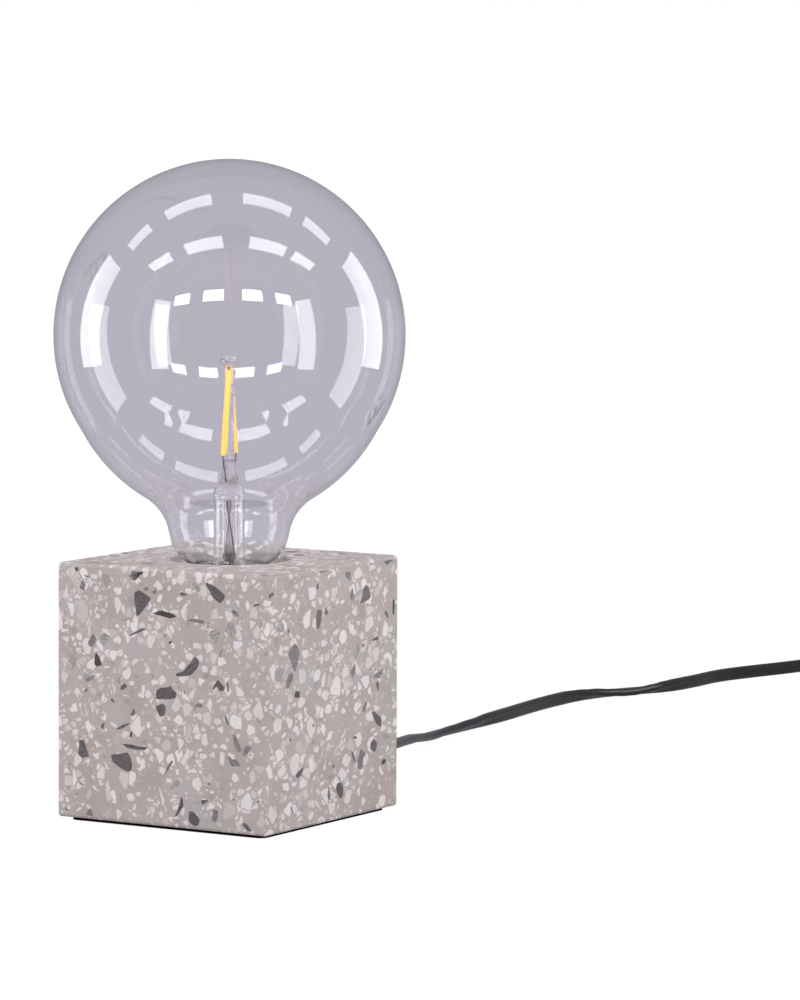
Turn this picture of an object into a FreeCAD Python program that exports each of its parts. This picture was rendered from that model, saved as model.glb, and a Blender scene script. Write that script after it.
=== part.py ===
# Table lamp: a cast terrazzo cube with a recessed E27 holder, a clear globe bulb and a flat two-core lead.
# Origin at the middle of the base on the table, +Z up, the lead leaves the +Y face.
# Lengths in millimetres, angles in degrees.
import FreeCAD, Part
import math
import os
import re

import Sketcher

Vector = FreeCAD.Vector
document = FreeCAD.newDocument("terrazzo_table_lamp")

sizes = {
    # cast block and the pad under it
    "stone_side": 87.9,
    "stone_edge_round": 1.2,
    "bore_radius": 21.84,
    "bore_depth": 52.45,
    "bore_edge_round": 0.7,
    "web_thickness": 8.0,
    "cavity_radius": 26.0,
    "cavity_height": 30.35,
    "stud_hole_radius": 5.4,
    "pad_thickness": 1.3,
    "pad_inset": 3.2,
    "pad_corner_radius": 3.0,
    # flat lead and its way out of the block
    "cord_width": 5.4,
    "cord_thickness": 3.2,
    "cord_bend_radius": 12.0,
    "core_radius": 1.0,
    "core_spacing": 2.6,
    "core_bend_radius": 1.9,
    "outlet_height": 10.0,
    "outlet_radius": 5.2,
    "bush_depth": 10.0,
    "bush_flange_radius": 7.2,
    "bush_flange_thickness": 1.6,
    "bush_tail_length": 19.0,
    "bush_tail_radius": 4.9,
    "bush_tip_radius": 4.1,
    "fit_clearance": 0.05,
    # clamp that stops the lead from being pulled out
    "stop_width": 17.0,
    "stop_depth": 7.0,
    "stop_half_height": 5.6,
    "stop_screw_offset": 5.9,
    "stop_screw_radius": 1.4,
    "stop_head_radius": 2.4,
    "stop_head_height": 1.7,
    # threaded stud through the web
    "stud_radius": 5.0,
    "stud_bore_radius": 4.0,
    "stud_tail": 2.0,
    "stud_chamfer": 0.5,
    "washer_radius": 9.5,
    "washer_thickness": 1.2,
    "nut_corner_radius": 8.1,
    "nut_thickness": 3.5,
    "end_bush_flange": 1.5,
    "end_bush_sleeve": 4.0,
    "end_bush_bore_radius": 3.3,
    # lamp holder
    "holder_foot_radius": 14.5,
    "holder_cap_radius": 19.0,
    "holder_cap_taper": 6.0,
    "holder_cap_height": 17.1,
    "holder_cap_step": 10.1,
    "holder_spigot_radius": 17.8,
    "holder_cap_bore_radius": 16.3,
    "holder_floor_thickness": 3.0,
    "holder_boss_radius": 8.0,
    "holder_boss_height": 8.1,
    "skirt_radius": 19.75,
    "skirt_wall": 2.75,
    "skirt_height": 33.9,
    "skirt_lip_thickness": 2.0,
    "skirt_mouth_radius": 14.5,
    "skirt_bevel": 1.2,
    "insert_thickness": 6.0,
    "insert_flange_thickness": 1.45,
    "insert_flange_radius": 17.6,
    "terminal_side": 5.0,
    "terminal_height": 6.0,
    "terminal_offset": 12.0,
    "terminal_screw_radius": 1.4,
    "terminal_head_radius": 2.0,
    "terminal_head_height": 1.4,
    "contact_width": 5.0,
    "contact_gauge": 0.4,
    "contact_rise": 1.5,
    "contact_reach": 9.5,
    # screw thread shared by the holder and the bulb
    "thread_pitch": 3.629,
    "thread_radius": 12.55,
    "thread_swing": 0.55,
    "thread_play": 0.22,
    "sheet_gauge": 0.3,
    "holder_thread_height": 22.3,
    "holder_thread_plain": 3.5,
    "shell_foot_width": 2.0,
    # bulb
    "tip_play": 0.3,
    "tip_radius": 4.6,
    "tip_height": 1.0,
    "tip_edge": 0.6,
    "insulator_radius": 10.0,
    "insulator_cone": 2.6,
    "insulator_height": 4.1,
    "insulator_hole_radius": 1.0,
    "cap_height": 26.7,
    "cap_lower_radius": 10.6,
    "cap_taper": 3.2,
    "cap_collar_radius": 13.2,
    "cap_collar_height": 4.2,
    "cap_rim_radius": 13.5,
    "cap_lower_end": 4.0,
    "globe_radius": 62.5,
    "neck_rise": 21.3,
    "neck_radius": 22.0,
    "glass_wall": 0.9,
    "glass_seat_radius": 12.7,
    "glass_seat_depth": 3.5,
    "stem_foot_radius": 11.6,
    "stem_foot_depth": 1.5,
    "stem_radius": 5.6,
    "stem_bore_radius": 4.8,
    "stem_flare_height": 6.0,
    "stem_height": 27.0,
    "press_radius": 2.7,
    "press_height": 8.6,
    "rod_radius": 1.65,
    "rod_height": 37.4,
    "exhaust_radius": 2.0,
    "exhaust_bore_radius": 1.5,
    "exhaust_length": 30.0,
    "bead_radius": 3.6,
    "bead_height": 3.4,
    "filament_radius": 0.95,
    "filament_top_spread": 3.0,
    "filament_foot_spread": 6.3,
    "filament_foot_drop": 31.7,
    "filament_top_heading": -62.0,
    "filament_foot_heading": -77.4,
    "filament_tab_length": 1.4,
    "wire_radius": 0.28,
    "lead_top_spread": 3.3,
    "lead_foot_spread": 3.8,
    "lead_top_heading": -71.0,
    "lead_foot_heading": -8.0,
    "board_width": 14.0,
    "board_height": 11.0,
    "board_gauge": 1.2,
    "board_clearance": 0.3,
    "capacitor_radius": 3.2,
    "capacitor_height": 8.0,
    "chip_width": 4.0,
    "chip_height": 5.0,
    "chip_thickness": 1.5,
    # in-line switch
    "switch_place_x": 75.0,
    "switch_place_y": 430.0,
    "switch_length": 62.0,
    "switch_width": 27.0,
    "switch_split": 7.2,
    "switch_height": 15.5,
    "switch_corner_radius": 9.0,
    "switch_edge_round": 1.6,
    "switch_wall": 1.8,
    "switch_end_wall": 6.0,
    "opening_length": 19.6,
    "opening_width": 10.3,
    "rocker_gap": 0.3,
    "rocker_tilt": 10.0,
    "pivot_height": 11.3,
    "pivot_radius": 1.2,
    "cheek_thickness": 1.8,
    "cheek_length": 8.0,
    "cheek_drop": 2.3,
    "rocker_crest_reach": 8.6,
    "rocker_crest_rise": 5.2,
    "rocker_dip_rise": 3.4,
    "rocker_side_reach": 9.2,
    "rocker_side_rise": 1.5,
    "rocker_foot_reach": 6.5,
    "rocker_foot_drop": 2.2,
    "bridge_length": 11.0,
    "bridge_width": 8.0,
    "bridge_gauge": 0.5,
    "post_width": 3.4,
    "post_depth": 4.0,
    "post_place": 6.0,
    "post_spacing": 5.2,
    "post_gap": 0.3,
    "case_screw_x": 8.3,
    "case_screw_y": 20.5,
    "case_screw_radius": 1.3,
    "case_head_radius": 2.5,
    "case_head_height": 1.8,
    "case_head_recess": 0.6,
    "case_boss_radius": 3.2,
    "case_screw_length": 9.6,
    "boot_length": 20.0,
    "boot_root_radius": 5.5,
    "boot_tip_radius": 4.0,
    # plug
    "plug_place_x": 152.0,
    "plug_place_y": 446.0,
    "plug_width": 35.3,
    "plug_height": 13.7,
    "plug_length": 36.0,
    "plug_front": 13.0,
    "plug_rear_width": 15.0,
    "plug_edge_round": 3.0,
    "plug_boot_length": 25.0,
    "pin_radius": 2.0,
    "pin_length": 19.0,
    "pin_spacing": 18.6,
    "pin_tip_round": 1.2,
    "pin_core_radius": 1.6,
    "sleeve_length": 10.0,
    # coil of the stored lead
    "coil_place_x": 113.5,
    "coil_place_y": 335.0,
    "coil_radius": 38.5,
    "coil_gap": 0.6,
    # length by which a cutting shape runs past what it cuts
    "overrun": 2.0,
}

# Places that follow from the sizes, each written with sizes or with places named before it.
derived = {
    "cavity_top": "pad_thickness + cavity_height",
    "web_top": "cavity_top + web_thickness",
    "stone_top": "web_top + bore_depth",
    "stud_bottom": "cavity_top - washer_thickness - nut_thickness - stud_tail",
    "holder_bottom": "web_top + washer_thickness",
    "stud_top": "holder_bottom + holder_boss_height",
    "cap_shelf": "holder_bottom + holder_cap_step",
    "cap_rim": "holder_bottom + holder_cap_height",
    "skirt_bottom": "cap_shelf + fit_clearance",
    "skirt_top": "skirt_bottom + skirt_height",
    "insert_top": "cap_rim + fit_clearance + insert_flange_thickness",
    "insert_bottom": "insert_top - insert_thickness",
    "skirt_shoulder": "insert_top + fit_clearance",
    "skirt_bore_radius": "skirt_radius - skirt_wall",
    "contact_top": "insert_top + contact_rise",
    "tip_bottom": "contact_top + tip_play",
    "tip_top": "tip_bottom + tip_height",
    "bulb_rim": "tip_bottom + cap_height",
    "globe_centre": "bulb_rim + neck_rise + globe_radius",
    "stem_bottom": "bulb_rim - stem_foot_depth",
    "stem_top": "bulb_rim + stem_height",
    "press_top": "stem_top + press_height",
    "rod_top": "press_top + rod_height",
    "outlet_tail_end": "stone_side / 2 + bush_tail_length",
    "stop_face": "sqrt(cavity_radius^2 - stop_width^2 / 4) - fit_clearance",
    "cheek_outside": "opening_width / 2 + cheek_thickness",
}


sheet = document.addObject("Spreadsheet::Sheet", "sizes")
for row, (alias, amount) in enumerate(sizes.items(), start=1):
    sheet.set(f"A{row}", alias.replace("_", " "))
    sheet.set(f"B{row}", str(amount))
    sheet.setAlias(f"B{row}", alias)
document.recompute()


# Turns words of a formula into references to the sheet's cells; a word before a bracket is a function.
def spell(text):
    for name in reversed(derived):
        text = re.sub(rf"\b{name}\b", f"({derived[name]})", text)
    return re.sub(r"\b[a-z][a-z_]+\b(?!\()", r"sizes.\g<0>", text)


def value(text):
    return float(sheet.evalExpression(spell(text)))


def bind(thing, **formulas):
    for name, text in formulas.items():
        thing.setExpression(name, spell(text))
    return thing


def place(thing, x="0", y="0", z="0"):
    for axis, text in (("x", x), ("y", y), ("z", z)):
        thing.setExpression(f"Placement.Base.{axis}", spell(text))
    return thing


# Building blocks of a body: sketches on its own planes, lifted off them by a formula.
def body(name):
    made = document.addObject("PartDesign::Body", name)
    made.Label = name
    return made


def sketch(owner, plane="XY", lift="0"):
    drawing = owner.newObject("Sketcher::SketchObject", f"{owner.Label}_sketch")
    base = next(origin for origin in owner.Origin.OriginFeatures if origin.Role == f"{plane}_Plane")
    drawing.AttachmentSupport = [(base, "")]
    drawing.MapMode = "FlatFace"
    drawing.setExpression("AttachmentOffset.Base.z", spell(lift))
    return drawing


def hold(drawing, kind, line, text):
    distance = value(text)
    if text == "0":
        axis = -2 if kind == "DistanceX" else -1
        drawing.addConstraint(Sketcher.Constraint("PointOnObject", line, 1, axis))
        return
    ends = (-1, 1, line, 1) if distance > 0 else (line, 1, -1, 1)
    number = drawing.addConstraint(Sketcher.Constraint(kind, *ends, abs(distance)))
    formula = spell(text) if distance > 0 else f"-({spell(text)})"
    drawing.setExpression(f"Constraints[{number}]", formula)


def outline(drawing, corners):
    first = drawing.GeometryCount
    spots = [Vector(value(x), value(y), 0) for x, y in corners]
    for start, end in zip(spots, spots[1:] + spots[:1]):
        drawing.addGeometry(Part.LineSegment(start, end), False)
    for index in range(len(corners)):
        following = first + (index + 1) % len(corners)
        drawing.addConstraint(Sketcher.Constraint("Coincident", first + index, 2, following, 1))
    for index, (x, y) in enumerate(corners):
        hold(drawing, "DistanceX", first + index, x)
        hold(drawing, "DistanceY", first + index, y)
    return drawing


def rectangle(drawing, width, depth, x="0", y="0"):
    low_x, high_x = f"{x} - ({width}) / 2", f"{x} + ({width}) / 2"
    low_y, high_y = f"{y} - ({depth}) / 2", f"{y} + ({depth}) / 2"
    return outline(drawing, ((low_x, low_y), (high_x, low_y), (high_x, high_y), (low_x, high_y)))


def circle(drawing, radius, x="0", y="0"):
    spot = Vector(value(x), value(y), 0)
    number = drawing.addGeometry(Part.Circle(spot, Vector(0, 0, 1), value(radius)), False)
    size = drawing.addConstraint(Sketcher.Constraint("Radius", number, value(radius)))
    drawing.setExpression(f"Constraints[{size}]", spell(radius))
    for kind, text, axis in (("DistanceX", x, -2), ("DistanceY", y, -1)):
        if text == "0":
            drawing.addConstraint(Sketcher.Constraint("PointOnObject", number, 3, axis))
            continue
        ends = (-1, 1, number, 3) if value(text) > 0 else (number, 3, -1, 1)
        held = drawing.addConstraint(Sketcher.Constraint(kind, *ends, abs(value(text))))
        formula = spell(text) if value(text) > 0 else f"-({spell(text)})"
        drawing.setExpression(f"Constraints[{held}]", formula)
    return drawing


def pad(owner, drawing, length, middle=False):
    made = owner.newObject("PartDesign::Pad", f"{owner.Label}_pad")
    made.Profile = drawing
    made.SideType = "Symmetric" if middle else "One side"
    bind(made, Length=length)
    document.recompute()
    return made


# A pocket goes against its sketch's normal unless it is told to go with it.
def pocket(owner, drawing, depth, forward=False, middle=False):
    before = owner.Shape.Volume
    made = owner.newObject("PartDesign::Pocket", f"{owner.Label}_pocket")
    made.Profile = drawing
    made.SideType = "Symmetric" if middle else "One side"
    made.Reversed = forward
    bind(made, Length=depth)
    document.recompute()
    if not owner.Shape.Volume < before:
        raise RuntimeError(f"{made.Name} cuts nothing")
    return made


def revolve(owner, drawing):
    made = owner.newObject("PartDesign::Revolution", f"{owner.Label}_turned")
    made.Profile = drawing
    made.ReferenceAxis = (drawing, ["V_Axis"])
    document.recompute()
    return made


def turned(name, corners):
    made = body(name)
    revolve(made, outline(sketch(made, "XZ"), corners))
    return made


def along(edge, axis):
    return abs(edge.tangentAt(edge.FirstParameter).dot(axis)) > 1 - 1e-6


def is_ring(edge, radius, level):
    return (edge.isClosed() and abs(edge.CenterOfMass.z - value(level)) < 1e-6
            and abs(edge.Length - 2 * math.pi * value(radius)) < 1e-6)


def fillet(owner, base, radius, wanted):
    names = [f"Edge{number}" for number, edge in enumerate(base.Shape.Edges, start=1) if wanted(edge)]
    made = owner.newObject("PartDesign::Fillet", f"{owner.Label}_round")
    made.Base = (base, names)
    bind(made, Radius=radius)
    document.recompute()
    return made


# Loose primitives and the results made of them.
def cylinder(name, radius, height, x="0", y="0", z="0", turn=None):
    made = document.addObject("Part::Cylinder", name)
    if turn:
        made.Placement.Rotation = turn
    return place(bind(made, Radius=radius, Height=height), x, y, z)


def box(name, width, depth, height, x="0", y="0", z="0"):
    made = document.addObject("Part::Box", name)
    bind(made, Length=width, Width=depth, Height=height)
    return place(made, f"{x} - ({width}) / 2", f"{y} - ({depth}) / 2", z)


def cut(name, base, tool):
    made = document.addObject("Part::Cut", name)
    made.Base, made.Tool = base, tool
    made.Label = name
    return made


def fuse(name, *pieces):
    made = document.addObject("Part::MultiFuse", name)
    made.Shapes = list(pieces)
    made.Label = name
    return made


def group(name, *pieces):
    made = document.addObject("Part::Compound", name)
    made.Links = list(pieces)
    made.Label = name
    return made


def feature(name, shape):
    made = document.addObject("Part::Feature", name)
    made.Label = name
    made.Shape = shape
    return made


zAxis = Vector(0, 0, 1)
upToY = FreeCAD.Rotation(Vector(1, 0, 0), -90)
downToY = FreeCAD.Rotation(Vector(1, 0, 0), 90)


# Stone block: cast cube, bored from above for the holder and hollowed from below for the wiring.
def terrazzo_block():
    stone = body("terrazzo_block")
    square = rectangle(sketch(stone, lift="pad_thickness"), "stone_side", "stone_side")
    cast = pad(stone, square, "stone_top - pad_thickness")
    fillet(stone, cast, "stone_edge_round", lambda edge: True)
    pocket(stone, circle(sketch(stone, lift="stone_top"), "bore_radius"), "bore_depth")
    fillet(stone, stone.Tip, "bore_edge_round", lambda edge: is_ring(edge, "bore_radius", "stone_top"))
    pocket(stone, circle(sketch(stone, lift="pad_thickness"), "cavity_radius"),
           "cavity_top - pad_thickness", forward=True)
    pocket(stone, circle(sketch(stone, lift="cavity_top - overrun"), "stud_hole_radius"),
           "web_thickness + 2 * overrun", forward=True)
    pocket(stone, circle(sketch(stone, "XZ"), "outlet_radius", "0", "outlet_height"), "stone_side")


def base_pad():
    foam = body("base_pad")
    side = "stone_side - 2 * pad_inset"
    sheet_cut = pad(foam, rectangle(sketch(foam), side, side), "pad_thickness")
    fillet(foam, sheet_cut, "pad_corner_radius", lambda edge: along(edge, zAxis))


# Section of the flat lead, drawn about its middle, grown on every side by a clearance.
def cord_section(drawing, clearance="0"):
    half_height = f"cord_thickness / 2 + {clearance}"
    middle = value("cord_width / 2 - cord_thickness / 2")
    radius = value(half_height)
    right, left = Vector(middle, 0, 0), Vector(-middle, 0, 0)
    drop = Vector(0, radius, 0)
    drawing.addGeometry(Part.LineSegment(left - drop, right - drop), False)
    drawing.addGeometry(Part.Arc(right - drop, right + Vector(radius, 0, 0), right + drop), False)
    drawing.addGeometry(Part.LineSegment(right + drop, left + drop), False)
    drawing.addGeometry(Part.Arc(left + drop, left - Vector(radius, 0, 0), left - drop), False)
    return drawing


# Cord bush: its barrel sits in the block's outlet, its tapered tail guards the lead outside.
def outlet_bush():
    bush = turned("outlet_bush", (
        ("0", "-bush_depth"),
        ("outlet_radius - fit_clearance", "-bush_depth"),
        ("outlet_radius - fit_clearance", "0"),
        ("bush_flange_radius", "0"),
        ("bush_flange_radius", "bush_flange_thickness"),
        ("bush_tail_radius", "bush_flange_thickness"),
        ("bush_tip_radius", "bush_tail_length"),
        ("0", "bush_tail_length"),
    ))
    pocket(bush, cord_section(sketch(bush, lift="-bush_depth - overrun"), "fit_clearance"),
           "bush_depth + bush_tail_length + 2 * overrun", forward=True)
    bush.Placement.Rotation = upToY
    place(bush, y="stone_side / 2", z="outlet_height")


# The lead's sheath inside the base: straight in through the bush, then up through the stud.
def inner_cord():
    lead = body("inner_cord")
    way = lead.newObject("Sketcher::SketchObject", "inner_cord_way")
    side = next(origin for origin in lead.Origin.OriginFeatures if origin.Role == "YZ_Plane")
    way.AttachmentSupport = [(side, "")]
    way.MapMode = "FlatFace"
    bend = value("cord_bend_radius")
    level, outside, top = value("outlet_height"), value("outlet_tail_end"), value("stud_top")
    centre = Vector(bend, level + bend, 0)
    toward = Vector(-1, -1, 0).normalize() * bend
    way.addGeometry(Part.LineSegment(Vector(outside, level, 0), Vector(bend, level, 0)), False)
    way.addGeometry(Part.Arc(Vector(bend, level, 0), centre + toward, Vector(0, level + bend, 0)), False)
    way.addGeometry(Part.LineSegment(Vector(0, level + bend, 0), Vector(0, top, 0)), False)
    section = cord_section(sketch(lead, "XZ", "-outlet_tail_end"))
    section.setExpression("AttachmentOffset.Base.y", spell("outlet_height"))
    document.recompute()
    sheath = lead.newObject("PartDesign::AdditivePipe", "inner_cord_sheath")
    sheath.Profile = section
    sheath.Spine = way
    document.recompute()


# Clamp on the sheath just inside the cavity wall, in two halves held by two screws.
def cord_stop():
    for name, low in (("cord_stop_base", "outlet_height - stop_half_height"),
                      ("cord_stop_cap", "outlet_height + fit_clearance")):
        half = body(name)
        block = rectangle(sketch(half, lift=low), "stop_width", "stop_depth",
                          "0", "stop_face - stop_depth / 2")
        pad(half, block, "stop_half_height - fit_clearance")
        slot = sketch(half, "XZ", "-stop_face - overrun")
        slot.setExpression("AttachmentOffset.Base.y", spell("outlet_height"))
        pocket(half, cord_section(slot, "fit_clearance"), "stop_depth + 2 * overrun", forward=True)
        for side in ("", "-"):
            hole = circle(sketch(half, lift="outlet_height - stop_half_height - overrun"),
                          "stop_screw_radius + fit_clearance", f"{side}stop_screw_offset",
                          "stop_face - stop_depth / 2")
            pocket(half, hole, "2 * stop_half_height + 2 * overrun", forward=True)
    screws = []
    for side, label in (("", "right"), ("-", "left")):
        spot = (f"{side}stop_screw_offset", "stop_face - stop_depth / 2")
        shank = cylinder(f"stop_shank_{label}", "stop_screw_radius", "2 * stop_half_height", *spot,
                         "outlet_height - stop_half_height")
        head = cylinder(f"stop_head_{label}", "stop_head_radius", "stop_head_height", *spot,
                        "outlet_height + stop_half_height")
        screws.append(fuse(f"stop_screw_{label}", shank, head))
    group("cord_stop_screws", *screws)


# Threaded stud that holds the lamp holder down on the web, with its nut, washers and end bush.
def stud_and_nut():
    turned("holder_stud", (
        ("stud_bore_radius", "stud_bottom"),
        ("stud_radius - stud_chamfer", "stud_bottom"),
        ("stud_radius", "stud_bottom + stud_chamfer"),
        ("stud_radius", "stud_top - stud_chamfer"),
        ("stud_radius - stud_chamfer", "stud_top"),
        ("stud_bore_radius", "stud_top"),
    ))
    turned("stud_end_bush", (
        ("end_bush_bore_radius", "stud_bottom - end_bush_flange"),
        ("stud_radius", "stud_bottom - end_bush_flange"),
        ("stud_radius", "stud_bottom"),
        ("stud_bore_radius - fit_clearance", "stud_bottom"),
        ("stud_bore_radius - fit_clearance", "stud_bottom + end_bush_sleeve"),
        ("end_bush_bore_radius", "stud_bottom + end_bush_sleeve"),
    ))
    blank = document.addObject("Part::Prism", "nut_blank")
    blank.Polygon = 6
    bind(blank, Circumradius="nut_corner_radius", Height="nut_thickness")
    place(blank, z="cavity_top - washer_thickness - nut_thickness")
    thread = cylinder("nut_thread", "stud_radius + fit_clearance", "nut_thickness + 2 * overrun",
                      z="cavity_top - washer_thickness - nut_thickness - overrun")
    cut("stud_nut", blank, thread)
    washers = []
    for label, level in (("lower", "cavity_top - washer_thickness"), ("upper", "web_top")):
        disc = cylinder(f"washer_disc_{label}", "washer_radius", "washer_thickness", z=level)
        eye = cylinder(f"washer_eye_{label}", "stud_radius + fit_clearance", "washer_thickness + 2 * overrun",
                       z=f"{level} - overrun")
        washers.append(cut(f"washer_{label}", disc, eye))
    group("stud_washers", *washers)


# Lamp holder: a cap on the stud, a skirt over it, and the insert clamped between the two.
def lamp_holder():
    turned("holder_cap", (
        ("stud_radius + fit_clearance", "holder_bottom"),
        ("holder_foot_radius", "holder_bottom"),
        ("holder_cap_radius", "holder_bottom + holder_cap_taper"),
        ("holder_cap_radius", "cap_shelf"),
        ("holder_spigot_radius", "cap_shelf"),
        ("holder_spigot_radius", "cap_rim"),
        ("holder_cap_bore_radius", "cap_rim"),
        ("holder_cap_bore_radius", "holder_bottom + holder_floor_thickness"),
        ("holder_boss_radius", "holder_bottom + holder_floor_thickness"),
        ("holder_boss_radius", "stud_top"),
        ("stud_radius + fit_clearance", "stud_top"),
    ))
    turned("holder_skirt", (
        ("holder_spigot_radius + fit_clearance", "skirt_bottom"),
        ("skirt_radius", "skirt_bottom"),
        ("skirt_radius", "skirt_top - skirt_bevel"),
        ("skirt_radius - skirt_bevel", "skirt_top"),
        ("skirt_mouth_radius", "skirt_top"),
        ("skirt_mouth_radius", "skirt_top - skirt_lip_thickness"),
        ("skirt_bore_radius", "skirt_top - skirt_lip_thickness"),
        ("skirt_bore_radius", "skirt_shoulder"),
        ("holder_spigot_radius + fit_clearance", "skirt_shoulder"),
    ))
    turned("holder_insert", (
        ("0", "insert_bottom"),
        ("holder_cap_bore_radius - fit_clearance", "insert_bottom"),
        ("holder_cap_bore_radius - fit_clearance", "cap_rim + fit_clearance"),
        ("insert_flange_radius", "cap_rim + fit_clearance"),
        ("insert_flange_radius", "insert_top"),
        ("0", "insert_top"),
    ))


# Sprung tongue under the bulb's centre contact, seen from the side and as wide as it is cut.
def centre_contact():
    tongue = body("centre_contact")
    shape_shares = ((-1.0, 0.0), (-0.58, 0.0), (-0.16, 1.0), (0.16, 1.0), (0.47, 0.6))
    under = [(f"{along_share} * contact_reach", f"insert_top + {rise_share} * (contact_rise - contact_gauge)")
             for along_share, rise_share in shape_shares]
    over = [(x, f"{z} + contact_gauge") for x, z in reversed(under)]
    pad(tongue, outline(sketch(tongue, "XZ"), under + over), "contact_width", middle=True)


# Terminals hang under the insert, one for each core, with a clamping screw in the side of each.
def terminals():
    screw_drop_share = 0.6
    blocks, screws = [], []
    for side, label in (("", "live"), ("-", "neutral")):
        x, low = f"{side}terminal_offset", "insert_bottom - terminal_height"
        screw_level = f"insert_bottom - {screw_drop_share} * terminal_height"
        solid = box(f"terminal_solid_{label}", "terminal_side", "terminal_side", "terminal_height",
                    x, "0", low)
        hole = cylinder(f"terminal_hole_{label}", "terminal_screw_radius + fit_clearance", "terminal_side",
                        x, "-terminal_side", screw_level, upToY)
        blocks.append(cut(f"terminal_{label}", solid, hole))
        shank = cylinder(f"terminal_shank_{label}", "terminal_screw_radius", "terminal_side / 2",
                         x, "-terminal_side / 2", screw_level, upToY)
        head = cylinder(f"terminal_head_{label}", "terminal_head_radius", "terminal_head_height",
                        x, "-terminal_side / 2 - terminal_head_height", screw_level, upToY)
        screws.append(fuse(f"terminal_screw_{label}", shank, head))
    group("holder_terminals", *blocks)
    group("terminal_screws", *screws)


# Round wire along straight runs that meet in arcs of one radius.
def wire_along(points, arc_radius, wire_radius):
    edges = []
    start = points[0]
    for before, corner, after in zip(points, points[1:], points[2:]):
        back, ahead = (before - corner).normalize(), (after - corner).normalize()
        half_turn = (math.pi - back.getAngle(ahead)) / 2
        setback = arc_radius * math.tan(half_turn)
        inside = (back + ahead).normalize()
        middle = corner + inside * (arc_radius / math.cos(half_turn) - arc_radius)
        edges.append(Part.LineSegment(start, corner + back * setback).toShape())
        edges.append(Part.Arc(corner + back * setback, middle, corner + ahead * setback).toShape())
        start = corner + ahead * setback
    edges.append(Part.LineSegment(start, points[-1]).toShape())
    way = Part.Wire(edges)
    first = (points[1] - points[0]).normalize()
    section = Part.Wire(Part.makeCircle(wire_radius, points[0], first))
    return way.makePipeShell([section], True, False)


# Insulated cores from the end of the sheath to the terminals.
def holder_cores():
    for name, side in (("core_live", 1), ("core_neutral", -1)):
        start = Vector(side * value("core_spacing / 2"), 0, value("stud_top"))
        level = value("stud_top + 2 * core_bend_radius - core_radius")
        corner = Vector(start.x, 0, level)
        end = Vector(side * value("terminal_offset - terminal_side / 2"), 0, level)
        feature(name, wire_along([start, corner, end], value("core_bend_radius"), value("core_radius")))


# Round thread: a thin shell through level circles whose centres circle the axis once per pitch.
# Each station gives a height, an outer radius and how far the circle's centre swings out.
def threaded_shell(stations, pitch, foot, gauge):
    circles_per_turn = 12
    low, high = stations[0][0], stations[-1][0]
    count = math.ceil((high - low) / pitch * circles_per_turn)
    levels = sorted({low + (high - low) * index / count for index in range(count + 1)}
                    | {level for level, radius, swing in stations})
    rings = []
    for level in levels:
        below, above = next(pair for pair in zip(stations, stations[1:]) if level <= pair[1][0])
        share = (level - below[0]) / (above[0] - below[0])
        radius = below[1] + (above[1] - below[1]) * share
        swing = below[2] + (above[2] - below[2]) * share
        angle = 2 * math.pi * (level - foot) / pitch
        centre = Vector(swing * math.cos(angle), swing * math.sin(angle), level)
        rings.append([Part.makeCircle(size, centre, zAxis) for size in (radius, radius - gauge)])
    faces = [Part.makeRuledSurface(low_ring, high_ring)
             for below, above in zip(rings, rings[1:]) for low_ring, high_ring in zip(below, above)]
    for outer, inner in (rings[0], rings[-1]):
        faces += Part.Face(Part.Wire(outer)).cut(Part.Face(Part.Wire(inner))).Faces
    shell = Part.Shell(faces)
    shell.sewShape()
    return Part.Solid(shell)


# Screw shell of the holder, with a short foot that lies on the insert.
def screw_shell():
    foot, top = value("insert_top"), value("insert_top + holder_thread_height")
    radius = value("thread_radius + thread_play + sheet_gauge")
    plain, pitch, swing = value("holder_thread_plain"), value("thread_pitch"), value("thread_swing")
    stations = [(foot, radius, 0), (foot + plain, radius, 0), (foot + plain + pitch / 2, radius, swing),
                (top, radius, swing)]
    wall = threaded_shell(stations, pitch, foot, value("sheet_gauge"))
    ring = Part.makeCylinder(radius - value("sheet_gauge"), value("sheet_gauge"), Vector(0, 0, foot))
    eye = Part.makeCylinder(radius - value("shell_foot_width"), value("sheet_gauge"), Vector(0, 0, foot))
    feature("screw_shell", wall.fuse(ring.cut(eye)))


# Bulb's screw cap: a thin shell whose thread runs in step with the holder's.
def bulb_cap():
    foot, rim = value("tip_bottom + cap_lower_end"), value("bulb_rim")
    radius, pitch, swing = value("thread_radius"), value("thread_pitch"), value("thread_swing")
    taper_end = foot + value("cap_taper")
    collar = rim - value("cap_collar_height")
    stations = [
        (foot, value("cap_lower_radius"), 0),
        (taper_end, radius, swing),
        (collar - pitch / 2, radius, swing),
        (collar, value("cap_collar_radius"), 0),
        (rim - value("sheet_gauge"), value("cap_collar_radius"), 0),
        (rim, value("cap_rim_radius"), 0),
    ]
    feature("bulb_cap", threaded_shell(stations, pitch, value("insert_top"), value("sheet_gauge")))


def bulb_contacts():
    turned("contact_tip", (
        ("0", "tip_bottom"),
        ("tip_radius - 2 * tip_edge", "tip_bottom"),
        ("tip_radius", "tip_bottom + tip_edge"),
        ("tip_radius", "tip_top"),
        ("0", "tip_top"),
    ))
    turned("cap_insulator", (
        ("insulator_hole_radius", "tip_top + fit_clearance"),
        ("tip_radius + sheet_gauge", "tip_top + fit_clearance"),
        ("insulator_radius", "tip_top + insulator_cone"),
        ("insulator_radius", "tip_top + insulator_height"),
        ("insulator_hole_radius", "tip_top + insulator_height"),
    ))


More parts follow.
